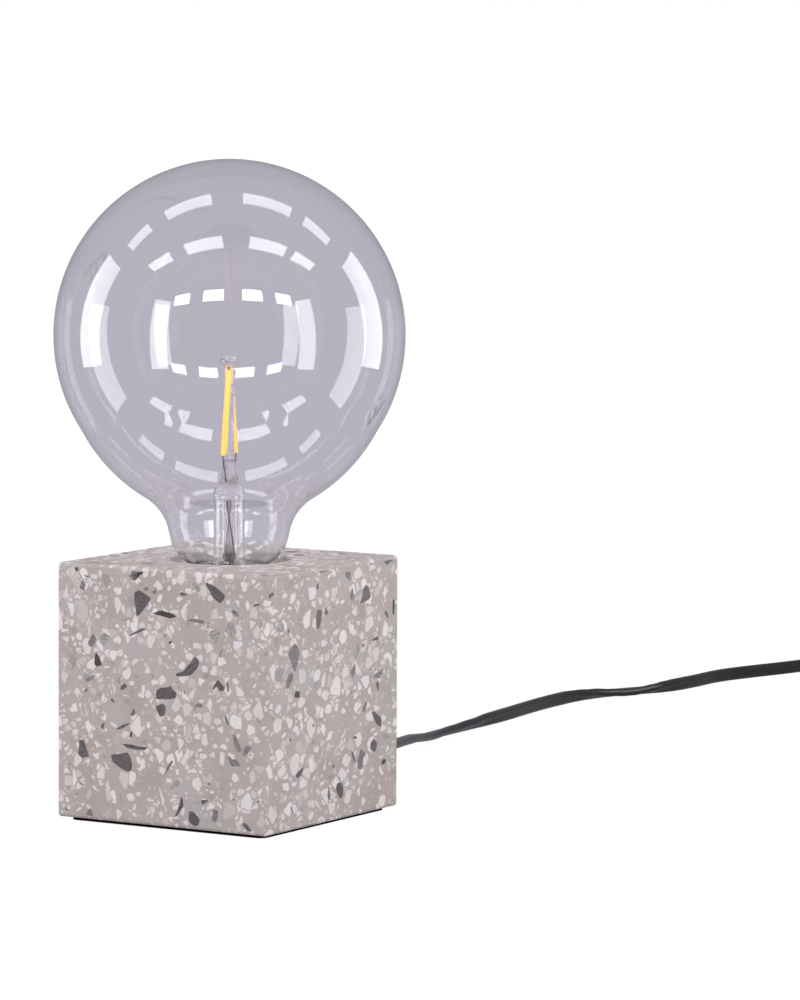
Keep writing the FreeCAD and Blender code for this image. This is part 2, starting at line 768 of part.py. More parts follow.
# Bulb glass: a sphere that runs into a flared neck. The outline takes its points in turn, three to an
# arc and two to a straight: first shares of the globe's radius, out from the axis and up from its centre,
# then shares of the neck's radius and of the height that the neck adds above the cap's rim.
def glass_envelope():
    globe, centre = value("globe_radius"), value("globe_centre")
    neck, rise, rim = value("neck_radius"), value("neck_rise"), value("bulb_rim")
    globe_shares = ((0, 1), (0.866, 0.5), (0.839, -0.544), (0.698, -0.744), (0.483, -0.922))
    neck_shares = ((1.114, 0.981), (1, 0.742), (0.936, 0.46), (0.773, 0.202), (0.586, 0.066))
    steps = (2, 2, 2, 1, 2, 1)
    points = [Vector(out * globe, centre + up * globe, 0) for out, up in globe_shares]
    points += [Vector(out * neck, rim + up * rise, 0) for out, up in neck_shares]
    points[-1].x = value("glass_seat_radius")
    points.append(Vector(value("glass_seat_radius"), value("bulb_rim - glass_seat_depth"), 0))
    inner = [points[0] - Vector(0, value("glass_wall"), 0)]
    for before, point, after in zip(points, points[1:], points[2:]):
        run = (after - before).normalize()
        inner.append(point + Vector(run.y, -run.x, 0) * value("glass_wall"))
    inner.append(points[-1] - Vector(value("glass_wall"), 0, 0))
    inner[-2].x = inner[-1].x
    glass = body("glass_envelope")
    drawing = sketch(glass, "XZ")
    for path in (points, inner):
        start = 0
        for step in steps:
            spots = path[start:start + step + 1]
            drawing.addGeometry(Part.Arc(*spots) if step == 2 else Part.LineSegment(*spots), False)
            start += step
    drawing.addGeometry(Part.LineSegment(points[0], inner[0]), False)
    drawing.addGeometry(Part.LineSegment(points[-1], inner[-1]), False)
    revolve(glass, drawing)


# Stem: a flared foot sealed in the neck, a hollow tube, the press that holds the wires and the rod.
def glass_stem():
    turned("glass_stem", (
        ("stem_foot_radius - glass_wall", "stem_bottom"),
        ("stem_foot_radius", "stem_bottom"),
        ("stem_foot_radius", "stem_bottom + glass_wall"),
        ("stem_radius", "stem_bottom + stem_flare_height"),
        ("stem_radius", "stem_top"),
        ("press_radius", "stem_top + press_height / 2"),
        ("rod_radius", "press_top"),
        ("rod_radius", "rod_top"),
        ("0", "rod_top"),
        ("0", "stem_top"),
        ("stem_bore_radius - glass_wall", "stem_top"),
        ("stem_bore_radius", "stem_top - glass_wall"),
        ("stem_bore_radius", "stem_bottom + stem_flare_height - glass_wall"),
    ))
    turned("exhaust_tube", (
        ("exhaust_bore_radius", "stem_top - exhaust_length"),
        ("exhaust_radius", "stem_top - exhaust_length"),
        ("exhaust_radius", "stem_top - fit_clearance"),
        ("exhaust_bore_radius", "stem_top - fit_clearance"),
    ))
    bead_shares = ((0, 0), (0.8, 0), (1, 0.35), (0.7, 0.85), (0, 1))
    turned("rod_bead", [(f"{out} * bead_radius" if out else "0", f"rod_top + {up} * bead_height")
                        for out, up in bead_shares])


# A spot around the bulb's axis, by its distance from the axis, its heading and its height.
def around(spread, heading, level, side=0):
    angle = math.radians(value(heading) + side)
    return Vector(value(spread) * math.cos(angle), value(spread) * math.sin(angle), value(level))


def rod_between(start, end, radius):
    return Part.makeCylinder(radius, start.distanceToPoint(end), start, end - start)


# Two filaments, one each side of the rod, with metal tabs, and the wires that feed them.
def filaments_and_wires():
    tabs, supports, leads = [], [], []
    for name, side in (("filament_front", 0), ("filament_back", 180)):
        top = around("filament_top_spread", "filament_top_heading", "rod_top - filament_tab_length", side)
        foot = around("filament_foot_spread", "filament_foot_heading",
                      "rod_top - filament_foot_drop", side)
        run = (foot - top).normalize()
        feature(name, rod_between(top, foot, value("filament_radius")))
        wire = value("wire_radius")
        tab_top = Vector(top.x, top.y, value("rod_top"))
        tab_foot = foot + run * value("filament_tab_length")
        tabs.append(rod_between(tab_top, top, wire))
        tabs.append(rod_between(foot, tab_foot, wire))
        root = around("press_radius + wire_radius", "filament_foot_heading",
                      "stem_top + press_height / 2", side)
        supports.append(rod_between(root, tab_foot, wire))
        lead_top = around("lead_top_spread", "lead_top_heading", "stem_top - 2 * glass_wall", side)
        lead_foot = around("lead_foot_spread", "lead_foot_heading", "stem_bottom", side)
        leads.append(rod_between(lead_top, lead_foot, wire))
    feature("filament_tabs", Part.Compound(tabs))
    feature("support_wires", Part.Compound(supports))
    feature("lead_wires", Part.Compound(leads))


# Driver inside the bulb's cap: a board on edge with a capacitor on one face and a chip on the other.
def driver():
    low = "tip_top + insulator_height + board_clearance"
    board = box("driver_board", "board_width", "board_gauge", "board_height", "0", "0", low)
    board.Label = "driver_board"
    capacitor = cylinder("driver_capacitor", "capacitor_radius", "capacitor_height",
                         "0", "board_gauge / 2 + capacitor_radius", f"{low} + board_clearance")
    chip = box("driver_chip", "chip_width", "chip_thickness", "chip_height",
               "0", "-board_gauge / 2 - chip_thickness / 2", f"{low} + board_clearance")
    group("driver_parts", capacitor, chip)


# In-line switch: two shells screwed together from below around the rocker and its contacts.
def switch_shell(name, low, height):
    shell = body(name)
    block = pad(shell, rectangle(sketch(shell, lift=low), "switch_width", "switch_length"), height)
    rounded = fillet(shell, block, "switch_corner_radius", lambda edge: along(edge, zAxis))
    outside = value(low) if name == "switch_base" else value(f"{low} + {height}")
    fillet(shell, rounded, "switch_edge_round", lambda edge: abs(edge.CenterOfMass.z - outside) < 1e-6)
    place(shell, "switch_place_x", "switch_place_y")
    return shell


def switch_cavity(shell, low, depth):
    room = rectangle(sketch(shell, lift=low), "switch_width - 2 * switch_wall",
                     "switch_length - 2 * switch_end_wall")
    pocket(shell, room, depth, forward=True)


def switch_cord_holes(shell):
    hole = circle(sketch(shell, "XZ"), "cord_width / 2 + fit_clearance", "0", "switch_split")
    pocket(shell, hole, "switch_length + 2 * overrun", middle=True)


def switch_bosses(shell, low, height, hole_radius, hole_depth):
    for side in ("", "-"):
        spot = ("case_screw_x", f"{side}case_screw_y")
        pad(shell, circle(sketch(shell, lift=low), "case_boss_radius", *spot), height)
    for side in ("", "-"):
        spot = ("case_screw_x", f"{side}case_screw_y")
        pocket(shell, circle(sketch(shell, lift=low), hole_radius, *spot), hole_depth, forward=True)


def switch_base():
    shell = switch_shell("switch_base", "0", "switch_split")
    switch_cavity(shell, "switch_wall", "switch_split - switch_wall")
    switch_cord_holes(shell)
    switch_bosses(shell, "0", "switch_split", "case_screw_radius + fit_clearance", "switch_split")
    for side in ("", "-"):
        seat = circle(sketch(shell), "case_head_radius + fit_clearance",
                      "case_screw_x", f"{side}case_screw_y")
        pocket(shell, seat, "case_head_recess + case_head_height", forward=True)


def switch_cover():
    shell = switch_shell("switch_cover", "switch_split", "switch_height - switch_split")
    switch_cavity(shell, "switch_split", "switch_height - switch_wall - switch_split")
    switch_cord_holes(shell)
    switch_bosses(shell, "switch_split", "switch_height - switch_wall - switch_split",
                  "case_screw_radius + fit_clearance",
                  "case_head_recess + case_head_height + case_screw_length - switch_split + fit_clearance")
    cheek_low = "pivot_height - cheek_drop"
    for side in ("", "-"):
        cheek = rectangle(sketch(shell, lift=cheek_low), "cheek_thickness", "cheek_length",
                          f"{side}(opening_width / 2 + cheek_thickness / 2)")
        pad(shell, cheek, f"switch_height - switch_wall - ({cheek_low})")
    window = rectangle(sketch(shell, lift="switch_height - switch_wall - overrun"),
                       "opening_width", "opening_length")
    pocket(shell, window, "switch_wall + 2 * overrun", forward=True)
    eye = circle(sketch(shell, "YZ"), "pivot_radius + fit_clearance", "0", "pivot_height")
    pocket(shell, eye, "2 * cheek_outside + fit_clearance", middle=True)


# Rocker on its pivot, drawn level about the pivot and stored tipped to its off side.
def switch_rocker():
    rocker = body("switch_rocker")
    corners = (
        ("-rocker_foot_reach", "-rocker_foot_drop"),
        ("rocker_foot_reach", "-rocker_foot_drop"),
        ("rocker_side_reach", "rocker_side_rise"),
        ("rocker_crest_reach", "rocker_crest_rise"),
        ("0", "rocker_dip_rise"),
        ("-rocker_crest_reach", "rocker_crest_rise"),
        ("-rocker_side_reach", "rocker_side_rise"),
    )
    pad(rocker, outline(sketch(rocker, "YZ"), corners), "opening_width - 2 * rocker_gap", middle=True)
    pivot = circle(sketch(rocker, "YZ"), "pivot_radius")
    pad(rocker, pivot, "2 * cheek_outside - 2 * fit_clearance", middle=True)
    bridge = body("switch_bridge")
    strip = rectangle(sketch(bridge, lift="-rocker_foot_drop - bridge_gauge"),
                      "bridge_width", "bridge_length")
    pad(bridge, strip, "bridge_gauge")
    for piece in (rocker, bridge):
        piece.Placement.Rotation = FreeCAD.Rotation(Vector(1, 0, 0), value("rocker_tilt"))
        place(piece, "switch_place_x", "switch_place_y", "pivot_height")


# Two contact posts stand side by side on the floor and are joined by the bridge when it tips down.
def switch_contacts():
    fall = "(rocker_foot_drop + bridge_gauge) * cos(rocker_tilt) + bridge_length / 2 * sin(rocker_tilt)"
    posts = [box(f"post_{label}", "post_width", "post_depth",
                 f"pivot_height - post_gap - switch_wall - ({fall})",
                 f"switch_place_x + {side}post_spacing / 2", "switch_place_y + post_place", "switch_wall")
             for side, label in (("", "right"), ("-", "left"))]
    group("switch_contacts", *posts)


def switch_screws():
    screws = []
    for side, label in (("", "near"), ("-", "far")):
        spot = ("switch_place_x + case_screw_x", f"switch_place_y + {side}case_screw_y")
        head = cylinder(f"case_head_{label}", "case_head_radius", "case_head_height",
                        *spot, "case_head_recess")
        shank = cylinder(f"case_shank_{label}", "case_screw_radius", "case_screw_length", *spot,
                         "case_head_recess + case_head_height")
        screws.append(fuse(f"case_screw_{label}", head, shank))
    group("switch_screws", *screws)


# Cores inside the switch: one runs past the rocker, the other is cut and ends on the two posts.
def switch_wires():
    x, y = value("switch_place_x"), value("switch_place_y")
    end = value("switch_length / 2 - switch_end_wall")
    core, bend = value("core_radius"), value("core_bend_radius")
    level, low = value("switch_split"), value("switch_wall + core_radius + fit_clearance")
    near = value("core_spacing / 2")
    aside = value("switch_width / 2 - switch_wall - core_radius - fit_clearance")
    post_side = value("post_place + post_depth / 2")
    post_back = value("post_place - post_depth / 2")
    post_x = value("post_spacing / 2")
    step = 2 * core
    through = [Vector(x - near, y + end, level), Vector(x - near, y + end - 2 * step, level),
               Vector(x - aside, y + end - 4 * step, low), Vector(x - aside, y - end + 4 * step, low),
               Vector(x - near, y - end + 2 * step, level), Vector(x - near, y - end, level)]
    live_in = [Vector(x + near, y + end, level), Vector(x + near, y + end - 2 * step, level),
               Vector(x + post_x, y + post_side + 2 * step, low), Vector(x + post_x, y + post_side, low)]
    live_out = [Vector(x + near, y - end, level), Vector(x + near, y - end + 2 * step, level),
                Vector(x - post_x, y + post_back - 4 * step, low), Vector(x - post_x, y + post_back, low)]
    wires = [wire_along(way, bend, core) for way in (through, live_in, live_out)]
    feature("switch_wires", Part.Compound(wires))


# Tapered boot along +Y or -Y, ending in the face that the free lead meets.
def boot(name, length, root_radius, tip_radius, x, y, z, turn):
    sleeve = document.addObject("Part::Cone", name)
    bind(sleeve, Radius1=root_radius, Radius2=tip_radius, Height=length)
    sleeve.Placement.Rotation = turn
    return place(sleeve, x, y, z)


def switch_boots():
    boots = []
    for label, side, turn in (("lamp_side", "", upToY), ("plug_side", "-", downToY)):
        root = f"switch_place_y + {side}switch_length / 2"
        cone = boot(f"boot_{label}", "boot_length", "boot_root_radius", "boot_tip_radius",
                    "switch_place_x", root, "switch_split", turn)
        neck = cylinder(f"boot_neck_{label}", "cord_width / 2", "switch_end_wall",
                        "switch_place_x", f"switch_place_y + {side}(switch_length / 2 - switch_end_wall)",
                        "switch_split", turn)
        boots.append(fuse(f"{label}_boot", cone, neck))
    group("switch_boots", *boots)


# Flat two-pin plug, lying on its broad side with its pins towards +Y.
def plug():
    shell = body("plug_body")
    corners = (
        ("-plug_rear_width / 2", "-plug_length"),
        ("plug_rear_width / 2", "-plug_length"),
        ("plug_width / 2", "-plug_front"),
        ("plug_width / 2", "0"),
        ("-plug_width / 2", "0"),
        ("-plug_width / 2", "-plug_front"),
    )
    block = pad(shell, outline(sketch(shell), corners), "plug_height")
    fillet(shell, block, "plug_edge_round", lambda edge: True)
    place(shell, "plug_place_x", "plug_place_y")
    pins, sleeves = [], []
    for side, label in (("", "right"), ("-", "left")):
        spot = (f"plug_place_x + {side}pin_spacing / 2", "plug_place_y", "plug_height / 2")
        core = cylinder(f"pin_core_{label}", "pin_core_radius", "sleeve_length", *spot, upToY)
        tip = turned(f"pin_tip_{label}", (
            ("0", "0"),
            ("pin_radius", "0"),
            ("pin_radius", "pin_length - sleeve_length - pin_tip_round"),
            ("pin_radius - pin_tip_round / 2", "pin_length - sleeve_length"),
            ("0", "pin_length - sleeve_length"),
        ))
        tip.Placement.Rotation = upToY
        place(tip, spot[0], "plug_place_y + sleeve_length", spot[2])
        pins.append(fuse(f"pin_{label}", core, tip))
        outside = cylinder(f"sleeve_outside_{label}", "pin_radius", "sleeve_length", *spot, upToY)
        inside = cylinder(f"sleeve_inside_{label}", "pin_core_radius", "sleeve_length + 2 * overrun",
                          spot[0], "plug_place_y - overrun", spot[2], upToY)
        sleeves.append(cut(f"sleeve_{label}", outside, inside))
    group("plug_pins", *pins)
    group("pin_sleeves", *sleeves)
    plug_boot = boot("plug_boot", "plug_boot_length", "boot_root_radius", "boot_tip_radius",
                     "plug_place_x", "plug_place_y - plug_length", "plug_height / 2", downToY)
    plug_boot.Label = "plug_boot"


# Round skin swept along the lead's way, its volume compared with its section times its length.
def sweep_lead(name, edges):
    radius = value("cord_width / 2")
    way = Part.Wire(edges)
    start, ahead = edges[0].valueAt(edges[0].FirstParameter), edges[0].tangentAt(edges[0].FirstParameter)
    section = Part.Wire(Part.makeCircle(radius, start, ahead))
    tube = way.makePipeShell([section], True, False)
    share = tube.Volume / (math.pi * radius ** 2 * way.Length)
    print(name, "length", round(way.Length, 1), "volume share", round(share, 4))
    if abs(share - 1) > 0.01:
        raise RuntimeError(f"{name} has a wrong volume")
    feature(name, tube)


# Free lead: straight runs joined by arcs that are as large as the two runs beside them allow.
def lay_lead(name, route):
    share_of_run = 0.45
    edges, radii = [], []
    start = route[0]
    for before, corner, after in zip(route, route[1:], route[2:]):
        back, ahead = before - corner, after - corner
        setback = share_of_run * min(back.Length, ahead.Length)
        back.normalize()
        ahead.normalize()
        half_turn = (math.pi - back.getAngle(ahead)) / 2
        arc_radius = setback / math.tan(half_turn)
        inside = (back + ahead).normalize()
        middle = corner + inside * (arc_radius / math.cos(half_turn) - arc_radius)
        edges.append(Part.LineSegment(start, corner + back * setback).toShape())
        edges.append(Part.Arc(corner + back * setback, middle, corner + ahead * setback).toShape())
        radii.append(round(arc_radius, 1))
        start = corner + ahead * setback
    edges.append(Part.LineSegment(start, route[-1]).toShape())
    print(name, "arc radii", radii)
    sweep_lead(name, edges)


def cord_to_switch():
    lay_lead("cord_to_switch", [
        Vector(0, value("outlet_tail_end"), value("outlet_height")),
        Vector(0, 84, 10),
        Vector(-6, 111, 9.4),
        Vector(-15.8, 139.4, 7.9),
        Vector(-24.4, 163.2, 6.0),
        Vector(-32.6, 187.8, 4.1),
        Vector(-38.7, 212.9, 2.8),
        Vector(-40.4, 240.4, 2.7),
        Vector(-42.1, 267.5, 2.7),
        Vector(-45.8, 295.9, 2.75),
        Vector(-48.1, 323.9, 2.7),
        Vector(-46.1, 345.7, 2.8),
        Vector(-38.4, 363.4, 3.0),
        Vector(-30.3, 379.5, 2.8),
        Vector(-28.5, 401.7, 2.7),
        Vector(-28.9, 424.3, 2.75),
        Vector(-23.2, 446.3, 2.7),
        Vector(-15.7, 470, 2.7),
        Vector(-9, 501, 2.75),
        Vector(7, 523.5, 3.2),
        Vector(33, 532, 4.4),
        Vector(59, 524, 6.0),
        Vector(75, 502.5, 7.2),
        Vector(value("switch_place_x"), value("switch_place_y + switch_length / 2 + boot_length"),
               value("switch_split")),
    ])


# Down from the switch to the coil on the table, and from the coil's top layer to the plug.
def lead_between(name, start, end):
    first_share, last_share = 0.33, 0.67
    run = end.y - start.y
    first = Vector(start.x, start.y + first_share * run, start.z)
    last = Vector(end.x, start.y + last_share * run, end.z)
    lay_lead(name, [start, first, last, end])


def cord_to_coil():
    switch_end = Vector(value("switch_place_x"), value("switch_place_y - switch_length / 2 - boot_length"),
                        value("switch_split"))
    coil_start = Vector(value("coil_place_x - coil_radius"), value("coil_place_y + cord_width"),
                        value("cord_width / 2"))
    lead_between("cord_to_coil", switch_end, coil_start)


def cord_to_plug():
    coil_end = Vector(value("coil_place_x + coil_radius"), value("coil_place_y + cord_width"),
                      value("cord_width * 1.5 + coil_gap"))
    plug_end = Vector(value("plug_place_x"), value("plug_place_y - plug_length - plug_boot_length"),
                      value("plug_height / 2"))
    lead_between("cord_to_plug", coil_end, plug_end)


# Stored lead: half turns that spiral in on the table, climb a layer at the smallest one and spiral out.
def quarter_arcs(start, heading, end):
    reach = (end - start).Length / 2
    first_corner, last_corner = start + heading * reach, end + heading * reach
    middle = (first_corner + last_corner) / 2
    arcs = []
    for low, corner, high in ((start, first_corner, middle), (middle, last_corner, end)):
        centre = low + high - corner
        arcs.append(Part.Arc(low, centre + (corner - centre) / math.sqrt(2), high).toShape())
    return arcs


# Least gap between the coil's skins, taken between points of stretches at least a quarter turn apart.
def least_gap(edges):
    points_per_arc = 40
    spots = [(number, spot) for number, edge in enumerate(edges) for spot in edge.discretize(points_per_arc)]
    nearest = min(low.distanceToPoint(high) for index, (number, low) in enumerate(spots)
                  for other, high in spots[index:] if other - number > 1)
    return nearest - value("cord_width")


def cord_coil():
    half_turns_in = 4
    radius, straight, pitch = value("coil_radius"), value("cord_width"), value("cord_width + coil_gap")
    start = Vector(value("coil_place_x - coil_radius"), value("coil_place_y"), value("cord_width / 2"))
    heading = Vector(0, -1, 0)
    edges = [Part.LineSegment(start - heading * straight, start).toShape()]
    for half_turn in range(2 * half_turns_in + 1):
        steps_in = half_turns_in - abs(half_turns_in - half_turn)
        width = 2 * radius - steps_in * pitch
        climb = pitch if half_turn == half_turns_in else 0
        end = start + Vector(width if half_turn % 2 == 0 else -width, 0, climb)
        edges += quarter_arcs(start, heading, end)
        start, heading = end, heading * -1
    edges.append(Part.LineSegment(start, start + heading * straight).toShape())
    print("cord_coil least gap", round(least_gap(edges), 2))
    sweep_lead("cord_coil", edges)


for build in (
    terrazzo_block, base_pad, outlet_bush, inner_cord, cord_stop, stud_and_nut, lamp_holder, centre_contact,
    terminals, holder_cores, screw_shell, bulb_cap, bulb_contacts, glass_envelope, glass_stem,
    filaments_and_wires, driver, switch_base, switch_cover, switch_rocker, switch_contacts, switch_screws,
    switch_wires, switch_boots, plug, cord_to_switch, cord_to_coil, cord_coil, cord_to_plug,
):
    build()
document.recompute()

for thing in document.Objects:
    if {"Invalid", "Error"} & set(thing.State):
        raise RuntimeError(f"{thing.Label} has failed: {thing.State}")
shapes = [thing for thing in document.Objects if thing.isDerivedFrom("Part::Feature")]
nodes = [thing for thing in shapes if not thing.getParentGeoFeatureGroup() and not thing.InList]
for node in nodes:
    if node.Shape.isNull() or not node.Shape.isValid() or not node.Shape.Solids:
        raise RuntimeError(f"{node.Label} has no sound shape")

os.makedirs("parts", exist_ok=True)
for node in nodes:
    node.Shape.exportStep(f"parts/{node.Label}.step")
print(len(nodes), "pieces written")
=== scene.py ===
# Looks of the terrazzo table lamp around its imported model. Everything is in metres; mm is one millimetre.
import math
import random

import bmesh
import bpy
from mathutils import Matrix, Vector


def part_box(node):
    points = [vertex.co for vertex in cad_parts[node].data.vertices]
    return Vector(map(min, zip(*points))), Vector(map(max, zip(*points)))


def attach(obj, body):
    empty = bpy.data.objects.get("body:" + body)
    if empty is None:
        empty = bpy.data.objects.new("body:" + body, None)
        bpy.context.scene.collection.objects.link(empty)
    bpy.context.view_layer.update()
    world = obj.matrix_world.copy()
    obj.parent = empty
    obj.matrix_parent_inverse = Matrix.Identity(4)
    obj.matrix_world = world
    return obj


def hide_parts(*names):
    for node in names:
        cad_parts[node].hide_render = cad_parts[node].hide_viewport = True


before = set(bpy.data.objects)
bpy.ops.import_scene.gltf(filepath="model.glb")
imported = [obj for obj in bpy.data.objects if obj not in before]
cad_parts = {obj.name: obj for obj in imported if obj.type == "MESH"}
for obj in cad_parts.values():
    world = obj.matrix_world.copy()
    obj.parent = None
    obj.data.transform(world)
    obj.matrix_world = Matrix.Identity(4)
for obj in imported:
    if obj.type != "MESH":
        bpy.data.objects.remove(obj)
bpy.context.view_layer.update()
bpy.ops.object.select_all(action="DESELECT")
mm = 0.001
print("frame loaded")

camera = {
    "place": (1.09348, -1.68128, 0.30644),
    "azimuth": 31.304,
    "elevation": 5.504,
    "roll": 0.278,
    "lens": 203.75,
    "sensor": 36.0,
    "frameWidth": 800,
    "frameHeight": 1000,
}


def cameraAxes():
    azimuth, elevation, roll = (math.radians(camera[k]) for k in ("azimuth", "elevation", "roll"))
    back = Vector((math.sin(azimuth) * math.cos(elevation),
                   -math.cos(azimuth) * math.cos(elevation), math.sin(elevation)))
    level = Vector((math.cos(azimuth), math.sin(azimuth), 0))
    upright = back.cross(level)
    side = level * math.cos(roll) + upright * math.sin(roll)
    return side, upright * math.cos(roll) - level * math.sin(roll), back


def makeCamera():
    bpy.ops.object.camera_add(location=camera["place"])
    lookout = bpy.context.object
    lookout.name = "studioCamera"
    lookout.rotation_euler = Matrix(cameraAxes()).transposed().to_euler()
    lookout.data.sensor_width = camera["sensor"]
    lookout.data.lens = camera["lens"]
    lookout.data.clip_start, lookout.data.clip_end = 0.05, 50
    bpy.context.scene.camera = lookout


# The spot on a plane that a pixel of the photograph shows.
def spotOn(pixel, axis, level):
    side, up, back = cameraAxes()
    perPixel = camera["sensor"] / camera["lens"] / camera["frameHeight"]
    ray = side * (pixel[0] - camera["frameWidth"] / 2) * perPixel
    ray -= up * (pixel[1] - camera["frameHeight"] / 2) * perPixel + back
    start = Vector(camera["place"])
    return start + ray * (level - start[axis]) / ray[axis]


makeCamera()
print("camera set")

lead = {
    "width": 0.0054,
    "thickness": 0.0032,
    "waist": 0.00012,
    "exit": (0, 0.06295, 0.010),
    "toSwitch": 0.577,
    "switchEnd": (0.075, 0.379, 0.0072),
    "toPlug": 1.033,
    # distance along the lead in metres, and its twist in degrees: 0 lies flat and 90 stands on edge
    "twistToSwitch": ((0, 0), (0.109, 0), (0.141, 8), (0.163, 25), (0.180, 42), (0.198, 76), (0.209, 90),
                      (0.267, 90), (0.277, 62), (0.288, 38), (0.299, 12), (0.305, 1), (0.311, 1), (0.314, 9),
                      (0.320, 28), (0.326, 54), (0.334, 78), (0.342, 90), (0.440, 90), (0.515, 0), (0.577, 0)),
    "twistToPlug": ((0, 0), (0.038, 90), (0.988, 90), (1.033, 0)),
    # a lead that lies flat sinks from the route's height to the floor, fully so below the first height
    "sunkBelow": 0.0037,
    "freeAbove": 0.0052,
    "turns": 9,  # half turns of the stored coil
    "coilMiddle": 0.335,
    "coilWidth": 0.077,
    "coilStep": 0.006,
    "pointsPerHalfTurn": 8,
    "lowLevel": 0.0027,
    "highLevel": 0.0087,
    "sectionStep": 15,
}

routeToSwitch = (
    (0, 0.06295, 0.010), (0, 0.084, 0.010), (-0.006, 0.111, 0.0094), (-0.0158, 0.1394, 0.0079),
    (-0.0244, 0.1632, 0.0060), (-0.0326, 0.1878, 0.0041), (-0.0387, 0.2129, 0.0028), (-0.0404, 0.2404, 0.0027),
    (-0.0421, 0.2675, 0.0027), (-0.0458, 0.2959, 0.00275), (-0.0481, 0.3239, 0.0027), (-0.0461, 0.3457, 0.0028),
    (-0.0384, 0.3634, 0.0030), (-0.0303, 0.3795, 0.0028), (-0.0285, 0.4017, 0.0027), (-0.0289, 0.4243, 0.00275),
    (-0.0232, 0.4463, 0.0027), (-0.0157, 0.470, 0.0027), (-0.009, 0.501, 0.00275), (0.007, 0.5235, 0.0032),
    (0.033, 0.532, 0.0044), (0.059, 0.524, 0.0060), (0.075, 0.5025, 0.0072), (0.075, 0.481, 0.0072),
)


# The stored lead winds inwards on the floor, climbs, and winds outwards on top.
def routeToPlug():
    points = [lead["switchEnd"], (0.075, 0.3663, 0.0072), (0.075, 0.3531, 0.0027), (0.075, 0.3404, 0.0027)]
    start, way, middle = lead["switchEnd"][0], 1, lead["turns"] // 2
    step = math.pi / lead["pointsPerHalfTurn"]
    for turn in range(lead["turns"]):
        width = lead["coilWidth"] - (middle - abs(middle - turn)) * lead["coilStep"]
        centre, radius = start + way * width / 2, width / 2 / math.cos(step / 2)
        for k in range(lead["pointsPerHalfTurn"]):
            angle = (k + 0.5) * step
            climb = (k + 0.5) / lead["pointsPerHalfTurn"] if turn == middle else float(turn > middle)
            points.append((centre - way * radius * math.cos(angle),
                           lead["coilMiddle"] - way * radius * math.sin(angle),
                           lead["lowLevel"] + climb * (lead["highLevel"] - lead["lowLevel"])))
        start, way = start + way * width, -way
    return points + [(0.152, 0.3404, 0.0087), (0.152, 0.3551, 0.0087), (0.152, 0.3703, 0.00685),
                     (0.152, 0.385, 0.00685)]


# Points read from the route's own smooth line.
def smoothLine(name, route):
    curve = bpy.data.curves.new(name, "CURVE")
    curve.dimensions = "3D"
    curve.resolution_u = 10
    spline = curve.splines.new("NURBS")
    spline.points.add(len(route) - 1)
    for point, place in zip(spline.points, route):
        point.co = (*place, 1)
    spline.order_u = 3
    spline.use_endpoint_u = True
    line = bpy.data.objects.new(name, curve)
    bpy.context.scene.collection.objects.link(line)
    mesh = bpy.data.meshes.new_from_object(line)
    path = [vertex.co.copy() for vertex in mesh.vertices]
    bpy.data.objects.remove(line)
    bpy.data.meshes.remove(mesh)
    return path


# The value at a place between keys, eased from each key to the next.
def between(keys, place):
    for (before, low), (after, high) in zip(keys, keys[1:]):
        if place <= after:
            share = (place - before) / (after - before)
            return low + (high - low) * share * share * (3 - 2 * share)
    return keys[-1][1]


# Outline of the flat lead: two round sides, and between them two flats that are slightly hollow.
def leadSection():
    flat, bend = (lead["width"] - lead["thickness"]) / 2, lead["thickness"] / 2
    side = [(flat + bend * math.cos(a), bend * math.sin(a))
            for a in (math.radians(d) for d in range(-90, 91, lead["sectionStep"]))]
    hollow = [(x * flat, bend - lead["waist"] * (1 - abs(x))) for x in (0.5, 0, -0.5)]
    half = side + hollow
    return half + [(-x, -y) for x, y in half]


def flatLead(name, path, twist):
    section, points, faces, rings = leadSection(), [], [], []
    distance = 0.0
    for index, place in enumerate(path):
        ahead = path[min(index + 1, len(path) - 1)] - path[max(index - 1, 0)]
        if index:
            distance += (place - path[index - 1]).length
        ahead.normalize()
        side = ahead.cross(Vector((0, 0, 1))).normalized()
        up = side.cross(ahead)
        angle = math.radians(between(twist, distance))
        wide = side * math.cos(angle) + up * math.sin(angle)
        thin = up * math.cos(angle) - side * math.sin(angle)
        height = lead["thickness"] / 2 + (lead["width"] - lead["thickness"]) / 2 * abs(math.sin(angle))
        resting = (lead["freeAbove"] - place.z) / (lead["freeAbove"] - lead["sunkBelow"])
        drop = (lead["width"] / 2 - height) * min(1, max(0, resting))
        rings.append(range(len(points), len(points) + len(section)))
        points += [place - Vector((0, 0, drop)) + wide * x + thin * y for x, y in section]
    for before, after in zip(rings, rings[1:]):
        for a in range(len(section)):
            b = (a + 1) % len(section)
            faces.append((before[a], before[b], after[b], after[a]))
    faces += [tuple(reversed(rings[0])), tuple(rings[-1])]
    mesh = bpy.data.meshes.new(name)
    mesh.from_pydata(points, [], faces)
    piece = bpy.data.objects.new(name, mesh)
    bpy.context.scene.collection.objects.link(piece)
    outward(piece)
    return piece


# Closes a mesh's seams, turns its faces outwards and smooths what isn't an edge.
def outward(piece, smooth=40):
    bpy.ops.object.select_all(action="DESELECT")
    bpy.context.view_layer.objects.active = piece
    piece.select_set(True)
    bpy.ops.object.mode_set(mode="EDIT")
    bpy.ops.mesh.select_all(action="SELECT")
    bpy.ops.mesh.remove_doubles(threshold=0.01 * mm)
    bpy.ops.mesh.normals_make_consistent(inside=False)
    bpy.ops.object.mode_set(mode="OBJECT")
    bpy.ops.object.shade_smooth_by_angle(angle=math.radians(smooth))
    piece.select_set(False)


